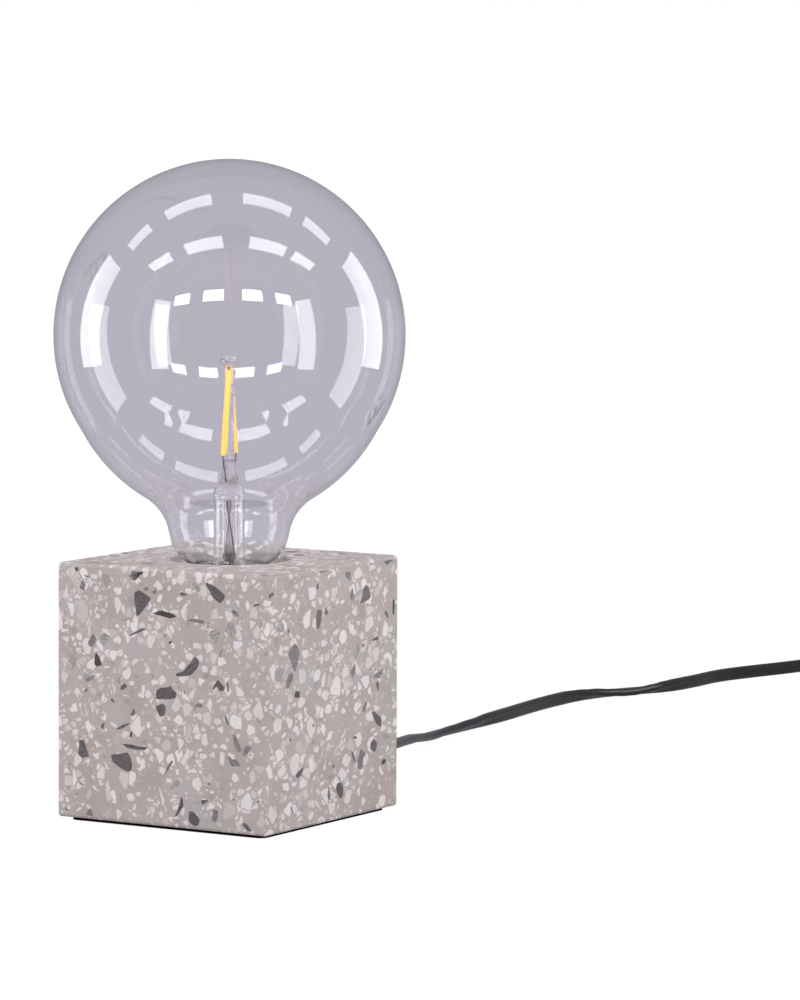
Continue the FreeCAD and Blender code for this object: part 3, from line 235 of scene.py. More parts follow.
pathToSwitch = smoothLine("routeToSwitch", routeToSwitch)
pathToPlug = smoothLine("routeToPlug", routeToPlug())
leadToSwitch = flatLead("leadToSwitch", pathToSwitch, lead["twistToSwitch"])
leadToPlug = flatLead("leadToPlug", pathToPlug, lead["twistToPlug"])
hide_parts("cord_to_switch")
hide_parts("cord_to_coil", "cord_coil", "cord_to_plug")
for piece in (leadToSwitch, leadToPlug):
    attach(piece, "root")
print("lead laid")


def newFinish(name):
    finish = bpy.data.materials.new(name)
    finish.use_nodes = True
    finish.node_tree.nodes.clear()
    return finish


# An sRGB hex value as linear red, green and blue.
def colour(code):
    parts = [int(code[k:k + 2], 16) / 255 for k in (1, 3, 5)]
    return (*[p / 12.92 if p <= 0.04045 else ((p + 0.055) / 1.055) ** 2.4 for p in parts], 1.0)


# Adds a node with its settings and gives one output; an input is a value or another node's output.
def addNode(finish, kind, inputs=(), give=0, **settings):
    tree = finish.node_tree
    node = tree.nodes.new("ShaderNode" + kind)
    for key, value in settings.items():
        setattr(node, key, value)
    for key, value in (inputs if isinstance(inputs, dict) else dict(enumerate(inputs))).items():
        if isinstance(value, bpy.types.NodeSocket):
            tree.links.new(value, node.inputs[key])
        else:
            node.inputs[key].default_value = value
    return node.outputs[give] if node.outputs else node


# sockets and settings of the node that mixes two colours: 0 is the share, 6 the first and 7 the second
mixing = {"give": 2, "data_type": "RGBA"}
scaling = {"give": 2, "data_type": "RGBA", "blend_type": "MULTIPLY"}


# Plain moulded, cast, drawn and plated finishes: a colour that varies a little, and fine relief. The grain is
# drawn coarser than it is on the real surface, so that it shows.
def plainFinish(name, code, rough, grain, depth, metal=0.0, vary=0.05, stretch=(1, 1, 1), ior=None, coat=0.0):
    finish = newFinish(name)
    place = addNode(finish, "TexCoord", give="Object")
    place = addNode(finish, "Mapping", {"Vector": place, "Scale": stretch})
    fine = addNode(finish, "TexNoise", {"Vector": place, "Scale": 1 / grain, "Detail": 3.0}, "Fac")
    broad = addNode(finish, "TexNoise", {"Vector": place, "Scale": 1 / (grain * 14), "Detail": 2.0}, "Fac")
    base = colour(code)
    dark = tuple(c * (1 - vary * 2) for c in base[:3]) + (1,)
    light = tuple(min(1, c * (1 + vary * 2)) for c in base[:3]) + (1,)
    roughness = {"Value": fine, "To Min": rough * 0.85, "To Max": min(1, rough * 1.2)}
    inputs = {"Base Color": addNode(finish, "Mix", {0: broad, 6: dark, 7: light}, **mixing),
              "Roughness": addNode(finish, "MapRange", roughness),
              "Normal": addNode(finish, "Bump", {"Strength": 1.0, "Distance": depth, "Height": fine}),
              "Metallic": metal, "Coat Weight": coat}
    if ior:
        inputs["IOR"] = ior
    addNode(finish, "OutputMaterial", {"Surface": addNode(finish, "BsdfPrincipled", inputs)})
    return finish


finishes = {
    # expanded foam: matt, black, with open cells
    "black_foam": plainFinish("evaFoamCut", "#0a0808", 0.92, 0.6 * mm, 0.08 * mm, vary=0.2, ior=1.15),
    # soft extruded cable sheath: black with a soft sheen
    "lead_sheath": plainFinish("pvcSheathExtruded", "#0f0e10", 0.30, 0.5 * mm, 0.006 * mm, vary=0.08, ior=1.53),
    # injection moulded plastic with a fine eroded texture
    "black_moulding": plainFinish("nylonMoulded", "#1d1d1f", 0.48, 0.3 * mm, 0.012 * mm, vary=0.1, ior=1.5),
    # smooth phenolic moulding, a little glossy
    "holder_black": plainFinish("phenolicMoulded", "#191719", 0.3, 0.5 * mm, 0.004 * mm, vary=0.1, ior=1.55),
    # bright zinc on drawn steel
    "zinc_steel": plainFinish("zincPlatedSteel", "#b9bdc4", 0.3, 0.4 * mm, 0.004 * mm, metal=1.0, vary=0.08),
    # pressed brass strip, yellow and bright
    "contact_brass": plainFinish("brassPressed", "#c9a35b", 0.28, 0.4 * mm, 0.003 * mm, metal=1.0, vary=0.08),
    # nickel on drawn cap metal, pale with a touch of yellow
    "cap_metal": plainFinish("nickelPlatedCap", "#c4b88f", 0.24, 0.5 * mm, 0.003 * mm, metal=1.0, vary=0.06),
    # tin-lead blob, dull and uneven
    "tin_solder": plainFinish("tinSolder", "#a6a8ab", 0.36, 0.7 * mm, 0.02 * mm, metal=1.0, vary=0.1),
    # black glass that insulates the cap's centre, shiny
    "cap_glass": plainFinish("blackCapGlass", "#17131c", 0.07, 1.2 * mm, 0.01 * mm, vary=0.2, ior=1.52),
    # drawn nickel wire, a little oxidised
    "nickel_wire": plainFinish("nickelWireDrawn", "#6a554c", 0.34, 0.2 * mm, 0.003 * mm, metal=0.9, vary=0.15),
    # glass-epoxy board under a glossy green mask
    "board_green": plainFinish("boardMask", "#245a3c", 0.3, 0.4 * mm, 0.004 * mm, vary=0.1, coat=0.4),
    # plain vinyl over copper strands, satin
    "core_brown": plainFinish("coreSheathBrown", "#5a3826", 0.42, 0.4 * mm, 0.004 * mm, vary=0.06),
    "core_blue": plainFinish("coreSheathBlue", "#2c5288", 0.42, 0.4 * mm, 0.004 * mm, vary=0.06),
    # nickel-plated brass, turned, so its grain runs round the pin
    "pin_nickel": plainFinish("pinNickelTurned", "#cbc8c1", 0.2, 0.25 * mm, 0.003 * mm, metal=1.0, vary=0.05,
                              stretch=(1, 4, 1)),
}


glass = {
    "tint": "#f8f8f9",
    "ior": 1.5,
    "shade": 0.9,
    "dentGrain": 1.0 * mm,
    "dentDepth": 0.4 * mm,
    "dentsRise": 0.8 * mm,
}


# Blown glass: clear and smooth, and its shadow is pale. Pressed and melted parts are dented above one height.
def clearGlass(name, tint, dented=None):
    finish = newFinish(name)
    inputs = {"Base Color": colour(tint), "Roughness": 0.0, "IOR": glass["ior"], "Transmission Weight": 1.0}
    if dented:
        place = addNode(finish, "TexCoord", give="Object")
        height = addNode(finish, "SeparateXYZ", [place], "Z")
        share = addNode(finish, "MapRange", {
            "Value": height, "From Min": dented, "From Max": dented + glass["dentsRise"]})
        dents = addNode(finish, "TexNoise", {"Vector": place, "Scale": 1 / glass["dentGrain"], "Detail": 2.0})
        inputs["Normal"] = addNode(finish, "Bump", {
            "Strength": share, "Distance": glass["dentDepth"], "Height": dents})
    body = addNode(finish, "BsdfPrincipled", inputs)
    through = addNode(finish, "BsdfTransparent", {"Color": (glass["shade"],) * 3 + (1,)})
    shadow = addNode(finish, "LightPath", give="Is Shadow Ray")
    addNode(finish, "OutputMaterial", {"Surface": addNode(finish, "MixShader", [shadow, body, through])})
    return finish


phosphor = {
    "shaded": "#f0a43a",
    "bright": "#ffc052",
    "grain": 0.5 * mm,
    # strength of the painted glow: the coat shines a little by itself, though the filament is not lit
    "glow": 0.38,
}


# Silicone filled with phosphor over a row of small diodes: warm yellow, soft and slightly grainy, with a faint
# painted glow though the filament is not lit.
def phosphorCoat():
    finish = newFinish("phosphorSiliconePaintedGlow")
    place = addNode(finish, "TexCoord", give="Object")
    grain = addNode(finish, "TexNoise", {"Vector": place, "Scale": 1 / phosphor["grain"], "Detail": 2.0}, "Fac")
    shades = {0: grain, 6: colour(phosphor["shaded"]), 7: colour(phosphor["bright"])}
    tone = addNode(finish, "Mix", shades, **mixing)
    # the coat's tone is also given off as a painted glow
    body = addNode(finish, "BsdfPrincipled", {
        "Base Color": tone, "Roughness": 0.35, "Emission Color": tone, "Emission Strength": phosphor["glow"]})
    addNode(finish, "OutputMaterial", {"Surface": body})
    return finish


finishes["clear_glass"] = clearGlass("sodaGlassBlown", glass["tint"])
finishes["phosphor"] = phosphorCoat()

stone = {
    "cementPale": "#aca3a2",
    "cementWarm": "#a09490",
    "cementCool": "#a29a9b",
    "patch": 16 * mm,
    "paleShare": 0.6,
    "sand": 0.45 * mm,
    "wobble": 0.35 * mm,
    "wobbleGrain": 1.3 * mm,
    # factor on the chips' share, from the barest parts of the stone to the fullest
    "density": (0.45, 1.4),
    "densityPatch": 22 * mm,
    # grain across, share kept, least trimming of the edge, further trimming, stretch, turn in degrees, strength
    "chips": (
        (1.7 * mm, 0.24, 0.08, 0.16, (1, 1, 1), (20, 40, 10), 0.6),
        (3.0 * mm, 0.52, 0.06, 0.16, (1, 0.8, 1.1), (35, -20, 50), 0.9),
        (4.2 * mm, 0.44, 0.06, 0.16, (1.1, 0.8, 0.85), (-25, 30, 15), 1.0),
        (5.4 * mm, 0.20, 0.08, 0.16, (1.15, 0.9, 0.75), (10, 60, -35), 1.0),
    ),
    "roundness": 0.62,
    "edge": 0.035,
    "halo": 0.05,
    "chipTones": ((0.0, "#cbc2c1"), (0.22, "#d3caca"), (0.42, "#c1b8b7"), (0.55, "#cdc6cb"), (0.68, "#b5adac"),
                  (0.78, "#d0c6c4"), (0.9, "#918b8c"), (0.96, "#c8bfbe")),
    "veins": 2.2 * mm,
    "speckSize": 1.7 * mm,
    "speckShare": 0.045,
    # tone of the specks: the dark grains' own colour, and painted shade in the pin holes
    "grainAndPitShadeTone": "#5b5350",
    "relief": 0.05 * mm,
}


def fillRamp(ramp, keys):
    while len(ramp.elements) < len(keys):
        ramp.elements.new(0.5)
    for element, (position, code) in zip(ramp.elements, keys):
        element.position, element.color = position, colour(code)


# The cement between the chips: warm and cool patches, paler ones here and there, and fine sand.
def cementBed(finish, place):
    patch = {"Vector": place, "Scale": 1 / stone["patch"], "Detail": 3.0}
    patches = addNode(finish, "TexNoise", patch).node.outputs
    cool = addNode(finish, "MapRange", {"Value": patches["Fac"], "From Min": 0.35, "From Max": 0.65})
    tones = {0: cool, 6: colour(stone["cementWarm"]), 7: colour(stone["cementCool"])}
    bed = addNode(finish, "Mix", tones, **mixing)
    second = addNode(finish, "SeparateColor", {"Color": patches["Color"]}, "Green")
    pale = addNode(finish, "MapRange", {"Value": second, "From Min": 0.4, "From Max": 0.65})
    pale = addNode(finish, "Math", [pale, stone["paleShare"]], operation="MULTIPLY")
    bed = addNode(finish, "Mix", {0: pale, 6: bed, 7: colour(stone["cementPale"])}, **mixing)
    grains = {"Vector": place, "Scale": 1 / stone["sand"], "Detail": 4.0, "Roughness": 0.7}
    sand = addNode(finish, "TexNoise", grains, "Fac")
    light = addNode(finish, "MapRange", {
        "Value": sand, "From Min": 0.3, "From Max": 0.7, "To Min": 0.9, "To Max": 1.08})
    return addNode(finish, "Mix", {0: 1.0, 6: bed, 7: light}, **scaling), sand


# One size of chips: where it clears the stone, how far each spot lies in a chip, and the chips' own tones.
def chipLayer(finish, place, density, chips):
    size, share, least, further, stretch, turn, strength = chips
    cells = addNode(finish, "Mapping", {"Vector": place, "Scale": tuple(s / size for s in stretch),
                                        "Rotation": tuple(math.radians(t) for t in turn)})
    look = {"Vector": cells, "Scale": 1.0, "Randomness": 0.9}
    cell = addNode(finish, "TexVoronoi", look).node.outputs
    picks = addNode(finish, "SeparateColor", {"Color": cell["Color"]}).node.outputs
    edge = addNode(finish, "TexVoronoi", look, "Distance", feature="DISTANCE_TO_EDGE")
    trim = addNode(finish, "Math", [picks[1], further, least], operation="MULTIPLY_ADD")
    limit = addNode(finish, "Math", [density, share], operation="MULTIPLY")
    kept = addNode(finish, "Math", [picks[0], limit], operation="LESS_THAN")
    inner = addNode(finish, "Math", [edge, trim], operation="SUBTRACT")
    rounded = addNode(finish, "Math", [stone["roundness"], cell["Distance"]], operation="SUBTRACT")
    room = addNode(finish, "Math", [inner, rounded], operation="MINIMUM")
    inside = addNode(finish, "Math", [room, stone["edge"]], operation="DIVIDE", use_clamp=True)
    chip = addNode(finish, "Math", [inside, kept], operation="MULTIPLY")
    chip = addNode(finish, "Math", [chip, strength], operation="MULTIPLY")
    rim = addNode(finish, "Math", [trim, stone["halo"]], operation="SUBTRACT")
    clear = addNode(finish, "Math", [edge, rim], operation="GREATER_THAN")
    clear = addNode(finish, "Math", [clear, kept], operation="MULTIPLY")
    tones = addNode(finish, "ValToRGB", {"Fac": picks[2]})
    tones.node.color_ramp.interpolation = "CONSTANT"
    fillRamp(tones.node.color_ramp, stone["chipTones"])
    veins = addNode(finish, "TexNoise", {"Vector": place, "Scale": 1 / stone["veins"], "Detail": 2.0}, "Fac")
    light = addNode(finish, "MapRange", {
        "Value": veins, "From Min": 0.3, "From Max": 0.7, "To Min": 0.95, "To Max": 1.04})
    return clear, chip, addNode(finish, "Mix", {0: 1.0, 6: tones, 7: light}, **scaling)


# Small dark spots, sunk a little: dark grains in their own tone, and pin holes darkened with painted shade.
def specks(finish, place):
    look = {"Vector": place, "Scale": 1 / stone["speckSize"], "Randomness": 1.0}
    speck = addNode(finish, "TexVoronoi", look).node.outputs
    picks = addNode(finish, "SeparateColor", {"Color": speck["Color"]}).node.outputs
    reach = addNode(finish, "Math", [picks[1], 0.22, 0.08], operation="MULTIPLY_ADD")
    near = addNode(finish, "Math", [speck["Distance"], reach], operation="LESS_THAN")
    kept = addNode(finish, "Math", [picks[0], stone["speckShare"]], operation="LESS_THAN")
    return addNode(finish, "Math", [near, kept], operation="MULTIPLY")


# Cast terrazzo, ground flat and honed: pale marble chips in a warm grey cement with fine sand.
def terrazzo():
    finish = newFinish("terrazzoHoned")
    place = addNode(finish, "TexCoord", give="Object")
    rough = addNode(finish, "TexNoise", {
        "Vector": place, "Scale": 1 / stone["wobbleGrain"], "Detail": 2.0}, "Color")
    shift = addNode(finish, "VectorMath", [rough, (0.5, 0.5, 0.5)], operation="SUBTRACT")
    shift = addNode(finish, "VectorMath", {0: shift, "Scale": stone["wobble"] * 2}, operation="SCALE")
    wobbled = addNode(finish, "VectorMath", [place, shift], operation="ADD")
    cement, sand = cementBed(finish, place)
    parts = addNode(finish, "TexNoise", {
        "Vector": place, "Scale": 1 / stone["densityPatch"], "Detail": 1.0}, "Fac")
    barest, fullest = stone["density"]
    density = addNode(finish, "MapRange", {
        "Value": parts, "From Min": 0.35, "From Max": 0.65, "To Min": barest, "To Max": fullest})
    surface, smooth = cement, 0.0
    for chips in stone["chips"]:
        clear, chip, tone = chipLayer(finish, wobbled, density, chips)
        surface = addNode(finish, "Mix", {0: clear, 6: surface, 7: cement}, **mixing)
        surface = addNode(finish, "Mix", {0: chip, 6: surface, 7: tone}, **mixing)
        smooth = addNode(finish, "Math", [smooth, chip], operation="MAXIMUM")
    speck = specks(finish, wobbled)
    # painted shade in the pin holes, and the dark grains' own tone
    dark = addNode(finish, "Math", [speck, 0.75], operation="MULTIPLY")
    surface = addNode(finish, "Mix", {0: dark, 6: surface, 7: colour(stone["grainAndPitShadeTone"])}, **mixing)
    grit = addNode(finish, "Math", [sand, 0.35], operation="MULTIPLY")
    height = addNode(finish, "Math", [speck, -0.6, grit], operation="MULTIPLY_ADD")
    body = addNode(finish, "BsdfPrincipled", {
        "Base Color": surface, "IOR": 1.5,
        "Roughness": addNode(finish, "MapRange", {"Value": smooth, "To Min": 0.56, "To Max": 0.4}),
        "Normal": addNode(finish, "Bump", {"Strength": 0.6, "Distance": stone["relief"], "Height": height})})
    addNode(finish, "OutputMaterial", {"Surface": body})
    return finish


slate = {
    "tones": ((0.0, "#332d2e"), (0.33, "#524c51"), (0.67, "#6e6a6e"), (1.0, "#8f8c8c")),
    "layer": 0.75 * mm,
    "along": 0.25,
    "contrast": (0.74, 1.3),
    "relief": 0.03 * mm,
}


# Split slate chips, ground flush: dark grey to violet with fine paler layers across each chip.
def slateStone():
    finish = newFinish("slateGround")
    place = addNode(finish, "UVMap", uv_map="layers")
    tone = addNode(finish, "ValToRGB", {"Fac": addNode(finish, "Attribute", (), "Fac", attribute_name="tone")})
    fillRamp(tone.node.color_ramp, slate["tones"])
    layered = addNode(finish, "Mapping", {"Vector": place, "Scale": (slate["along"], 1, 1)})
    lines = addNode(finish, "TexNoise", {"Vector": layered, "Scale": 1 / slate["layer"], "Detail": 2.0}, "Fac")
    low, high = slate["contrast"]
    depth = addNode(finish, "MapRange", {
        "Value": lines, "From Min": 0.38, "From Max": 0.64, "To Min": low, "To Max": high})
    body = addNode(finish, "BsdfPrincipled", {
        "Base Color": addNode(finish, "Mix", {0: 1.0, 6: tone, 7: depth}, **scaling),
        "Roughness": 0.42, "IOR": 1.55,
        "Normal": addNode(finish, "Bump", {"Strength": 0.5, "Distance": slate["relief"], "Height": lines})})
    addNode(finish, "OutputMaterial", {"Surface": body})
    return finish


finishes["terrazzo"] = terrazzo()


def dress(piece, finish):
    piece.data.materials.clear()
    piece.data.materials.append(finish)


# Gives a new piece its finish, looked up by slot name unless one is given, and its body, and hides the nodes
# that it stands for.
def dressed(piece, slotName, body="root", stands=(), finish=None):
    dress(piece, finish or finishes[slotName])
    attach(piece, body)
    if stands:
        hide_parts(*stands)
    return piece


nodeFinish = {
    "terrazzo": ["terrazzo_block"],
    "black_foam": ["base_pad"],
    "black_moulding": ["cord_stop_base", "cord_stop_cap", "stud_end_bush", "switch_base", "switch_cover",
                       "pin_sleeves", "driver_parts"],
    "lead_sheath": ["inner_cord"],
    "holder_black": ["holder_cap", "holder_skirt", "holder_insert", "switch_rocker"],
    "zinc_steel": ["holder_stud", "stud_nut", "stud_washers", "cord_stop_screws", "terminal_screws",
                   "switch_screws"],
    "contact_brass": ["centre_contact", "holder_terminals", "screw_shell", "switch_contacts", "switch_bridge"],
    "cap_metal": ["bulb_cap"],
    "tin_solder": ["contact_tip"],
    "cap_glass": ["cap_insulator"],
    "nickel_wire": ["filament_tabs", "support_wires", "lead_wires"],
    "board_green": ["driver_board"],
    "core_brown": ["core_live", "switch_wires"],
    "core_blue": ["core_neutral"],
    "pin_nickel": ["plug_pins"],
}
for slotName, names in nodeFinish.items():
    for name in names:
        dress(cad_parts[name], finishes[slotName])
for piece in (leadToSwitch, leadToPlug):
    dress(piece, finishes["lead_sheath"])
print("finishes made")

# Dark chips as they show: tone 0 black to 3 pale grey, and the corners as pixels of the photograph.
frontChips = (
    (2, (130.4, 568.3), (143.9, 568.3), (142, 574.4), (136, 580.9), (132.1, 580), (128.3, 574.9)),
    (1, (134.5, 592.3), (139.5, 590), (151.1, 598.2), (146.5, 606.3), (138.8, 615.4), (136.7, 617),
        (135.6, 608.4), (134.2, 599.3)),
    (2, (143.4, 588.4), (147.9, 586.3), (148.3, 590.2), (145.1, 590.9)),
    (0, (152.5, 613.7), (160.2, 610.3), (166.5, 611.9), (171.8, 613.4), (177.4, 616.6), (170.4, 618.5),
        (161.6, 616.1)),
    (2, (82.3, 578.9), (85.8, 584.2), (84.1, 590.9), (79.5, 588.1)),
    (1, (74.6, 566.3), (77.8, 566.7), (78.8, 569.8), (76.4, 572.1), (74.6, 569.1)),
    (2, (88.3, 641.4), (93.2, 633.3), (96.4, 637.9), (95.3, 642.8), (91.4, 647.4), (87.9, 644.6)),
    (3, (99.5, 637.9), (103.7, 632.3), (109.3, 635.8), (106.5, 642.8), (103.7, 644.9), (99.5, 642.1)),
    (0, (96, 651.9), (98.8, 656.1), (102.3, 664.9), (96.7, 666.7), (94.2, 663.9), (94.9, 656.1)),
    (1, (128.3, 635.4), (133.9, 632.3), (143.4, 627.7), (145.8, 629.5), (137.4, 633.3), (129.3, 636)),
    (2, (83.4, 575.1), (86.2, 575.1), (89.7, 577.2), (87.6, 577.9)),
    (2, (152.1, 591.9), (154.8, 590.2), (156.4, 585.6), (156, 593.7), (154.2, 594.7)),
    (3, (121.3, 619.6), (129.7, 617.9), (132.1, 619.6), (134.9, 622.5), (132.5, 622.5), (129, 619.6),
        (122.7, 621.4)),
    (1, (205.5, 582.2), (209.3, 583.9), (215.6, 586.8), (225.1, 594.8), (224.1, 599.4), (220.2, 603.7),
        (212.5, 597.3), (209.7, 591.7), (206.2, 585.7)),
    (3, (192.1, 582.5), (195.3, 583.6), (201.6, 588.9), (199.9, 591.7), (196.4, 591.7), (192.5, 586.8)),
    (1, (180.2, 592), (183.4, 592.4), (187.9, 595.5), (179.9, 595.5)),
    (2, (186.2, 620.4), (193.2, 618.7), (199.5, 619.4), (203.7, 620.4), (204.8, 623.2), (200.9, 623.6),
        (193.9, 622.2)),
    (2, (206.9, 627.5), (207.9, 622.2), (209.3, 622.5), (208.3, 627.1)),
    (1, (191.1, 661.8), (194.2, 656.9), (197.4, 658), (199.5, 662.5), (197.8, 666.8), (196.7, 669.2),
        (190.4, 675.5), (180.6, 676.6), (176.4, 676.6), (176, 673.4), (182.7, 671.7), (186.2, 667.8)),
    (3, (209, 632), (212.1, 630.3), (215.6, 629.2), (219.9, 631.7), (219.5, 636.6), (215.6, 644.3),
        (212.1, 639.4)),
    (3, (225.1, 630.3), (229.7, 622.2), (232.5, 623.9), (237.1, 632.4), (234.9, 636.6), (231.4, 637.6),
        (227.6, 634.5)),
    (2, (231.1, 612), (233.9, 609.2), (237.4, 612.7), (239.5, 616.9), (235.3, 616.2)),
    (0, (252.8, 605), (259.2, 603.6), (260.2, 605), (254.2, 606.4)),
    (0, (168.3, 642.9), (170.4, 640.8), (172.1, 641.1), (171.4, 643.2), (169, 644.3)),
    (3, (218.5, 652), (219.5, 645), (223.4, 649.2), (224.1, 653.4), (221.3, 659), (218.8, 655.5)),
    (2, (86.2, 678.9), (94.6, 674.4), (93.5, 678.9), (86.9, 681.8)),
    (2, (83.7, 691.6), (86.2, 686.7), (88.3, 690.2), (84.8, 692.6)),
    (1, (120.6, 687), (124.4, 683.2), (127.6, 686.3), (123.4, 689.5), (120.2, 689.8)),
    (1, (110, 699.3), (112.5, 698.2), (115.3, 702.5), (113.5, 702.8)),
    (1, (156, 690.9), (160.2, 688), (168.6, 687.1), (170.4, 685), (172.8, 689.6), (176.7, 693.4),
        (175.6, 698), (171.1, 699.2), (157.1, 699.2), (156, 698.3)),
    (1, (155.6, 706), (163, 703.5), (165.1, 705.4), (165.8, 711.3), (164.4, 715.5), (160.2, 716.8),
        (157.8, 712.7)),
    (1, (133.5, 707.7), (135.6, 712.6), (132.1, 716.1), (130, 713.7), (132.5, 711.9)),
    (1, (100.2, 726), (104.8, 721.8), (103.7, 727.7), (102.7, 730.2)),
    (1, (116, 729.1), (122.7, 724.6), (130.4, 722.8), (126.9, 725.6), (123.4, 728.1), (117.8, 729.8)),
    (0, (130.7, 731.2), (132.5, 731.6), (131.8, 735.8), (130.4, 738.2), (130, 735.8)),
    (1, (79.2, 740.4), (82.3, 739.3), (84.1, 740.7), (86.5, 748.4), (89.3, 756.5), (82, 757.9),
        (78.1, 754.4), (79.2, 746.3)),
    (1, (121.6, 743.4), (131.8, 744.6), (139.5, 746.7), (147.2, 747), (145.8, 749.8), (137.4, 749.8),
        (128.3, 748.1), (125.1, 746.7)),
    (1, (110.7, 754.7), (119.2, 754), (127.6, 752.3), (130.4, 756.8), (132.1, 763.9), (131.8, 769.5),
        (128.5, 771.9), (123, 769.6), (117.5, 765.6), (112.4, 761.5)),
    (3, (203, 675.5), (204.4, 673.8), (209.3, 674.1), (207.2, 679), (206.5, 682.2), (204.4, 678.3)),
    (1, (212.1, 688.9), (215.6, 683.2), (217.8, 679.7), (225.1, 687.5), (224.1, 690.6), (219.2, 691),
        (216.4, 686.1), (214.2, 689.6)),
    (1, (226.9, 680.8), (227.9, 681.8), (229, 688.9), (228.6, 692.7), (227.2, 691)),
    (1, (183, 689.6), (185.1, 691.3), (185.8, 694.5), (184.1, 693.4)),
    (2, (194.6, 705.4), (198.8, 702.9), (203, 705.4), (202.3, 707.5), (196.7, 707.1)),
    (2, (225.1, 714.1), (226.9, 717.6), (229.7, 725), (226.5, 724.6), (224.4, 719)),
    (2, (232.5, 733.4), (234.9, 735.2), (238.8, 742.2), (241.6, 751), (237.4, 752.7), (233.9, 743.6)),
    (2, (242.3, 754.8), (243.7, 749.2), (247.2, 745), (252.1, 747.1), (246.5, 754.8), (244.1, 756.2)),
    (2, (226.9, 756.2), (229, 756.9), (232.1, 759.4), (236.7, 759.7), (240.6, 766.1), (234.6, 766.8),
        (231.8, 766.8)),
    (2, (164.4, 774.6), (166.5, 768.2), (171.4, 760.2), (173.2, 761.9), (168.3, 769.6), (165.1, 774.6)),
    (2, (86.2, 816), (87.9, 809.6), (90.4, 807.9), (92.8, 812.5), (93.2, 817)),
    (0, (63.3, 804), (65.1, 807.5), (69, 810.2), (65.8, 809.8)),
    (1, (174.9, 816), (179.9, 804), (180.9, 795.6), (183, 800.5), (183.4, 806.1), (179.2, 813.2),
        (176.4, 817)),
    (1, (189.3, 811.1), (193.2, 811.8), (197.4, 816), (199.9, 820.2), (198.1, 825.8), (193.9, 825.8),
        (190.4, 823.3), (188.3, 820.2), (189, 815.3)),
    (1, (201.3, 799.8), (209, 800.2), (202.7, 805.1), (201.3, 802.6)),
    (2, (212.1, 820.9), (212.8, 808.9), (218.1, 811.1), (217.8, 817.4), (215.6, 822.3)),
    (1, (241.3, 823.3), (246.2, 823), (251.4, 830.7), (250, 832.1), (246.5, 830), (243.7, 826.5)),
    (1, (256.7, 801.9), (258.5, 800.2), (260.6, 801.9), (257.8, 803)),
    (0, (192.8, 757.4), (194.2, 756.3), (194.9, 758.1), (193.5, 758.8)),
    (2, (232.1, 799.1), (234.2, 798.4), (234.6, 800.5), (232.8, 800.9)),
)
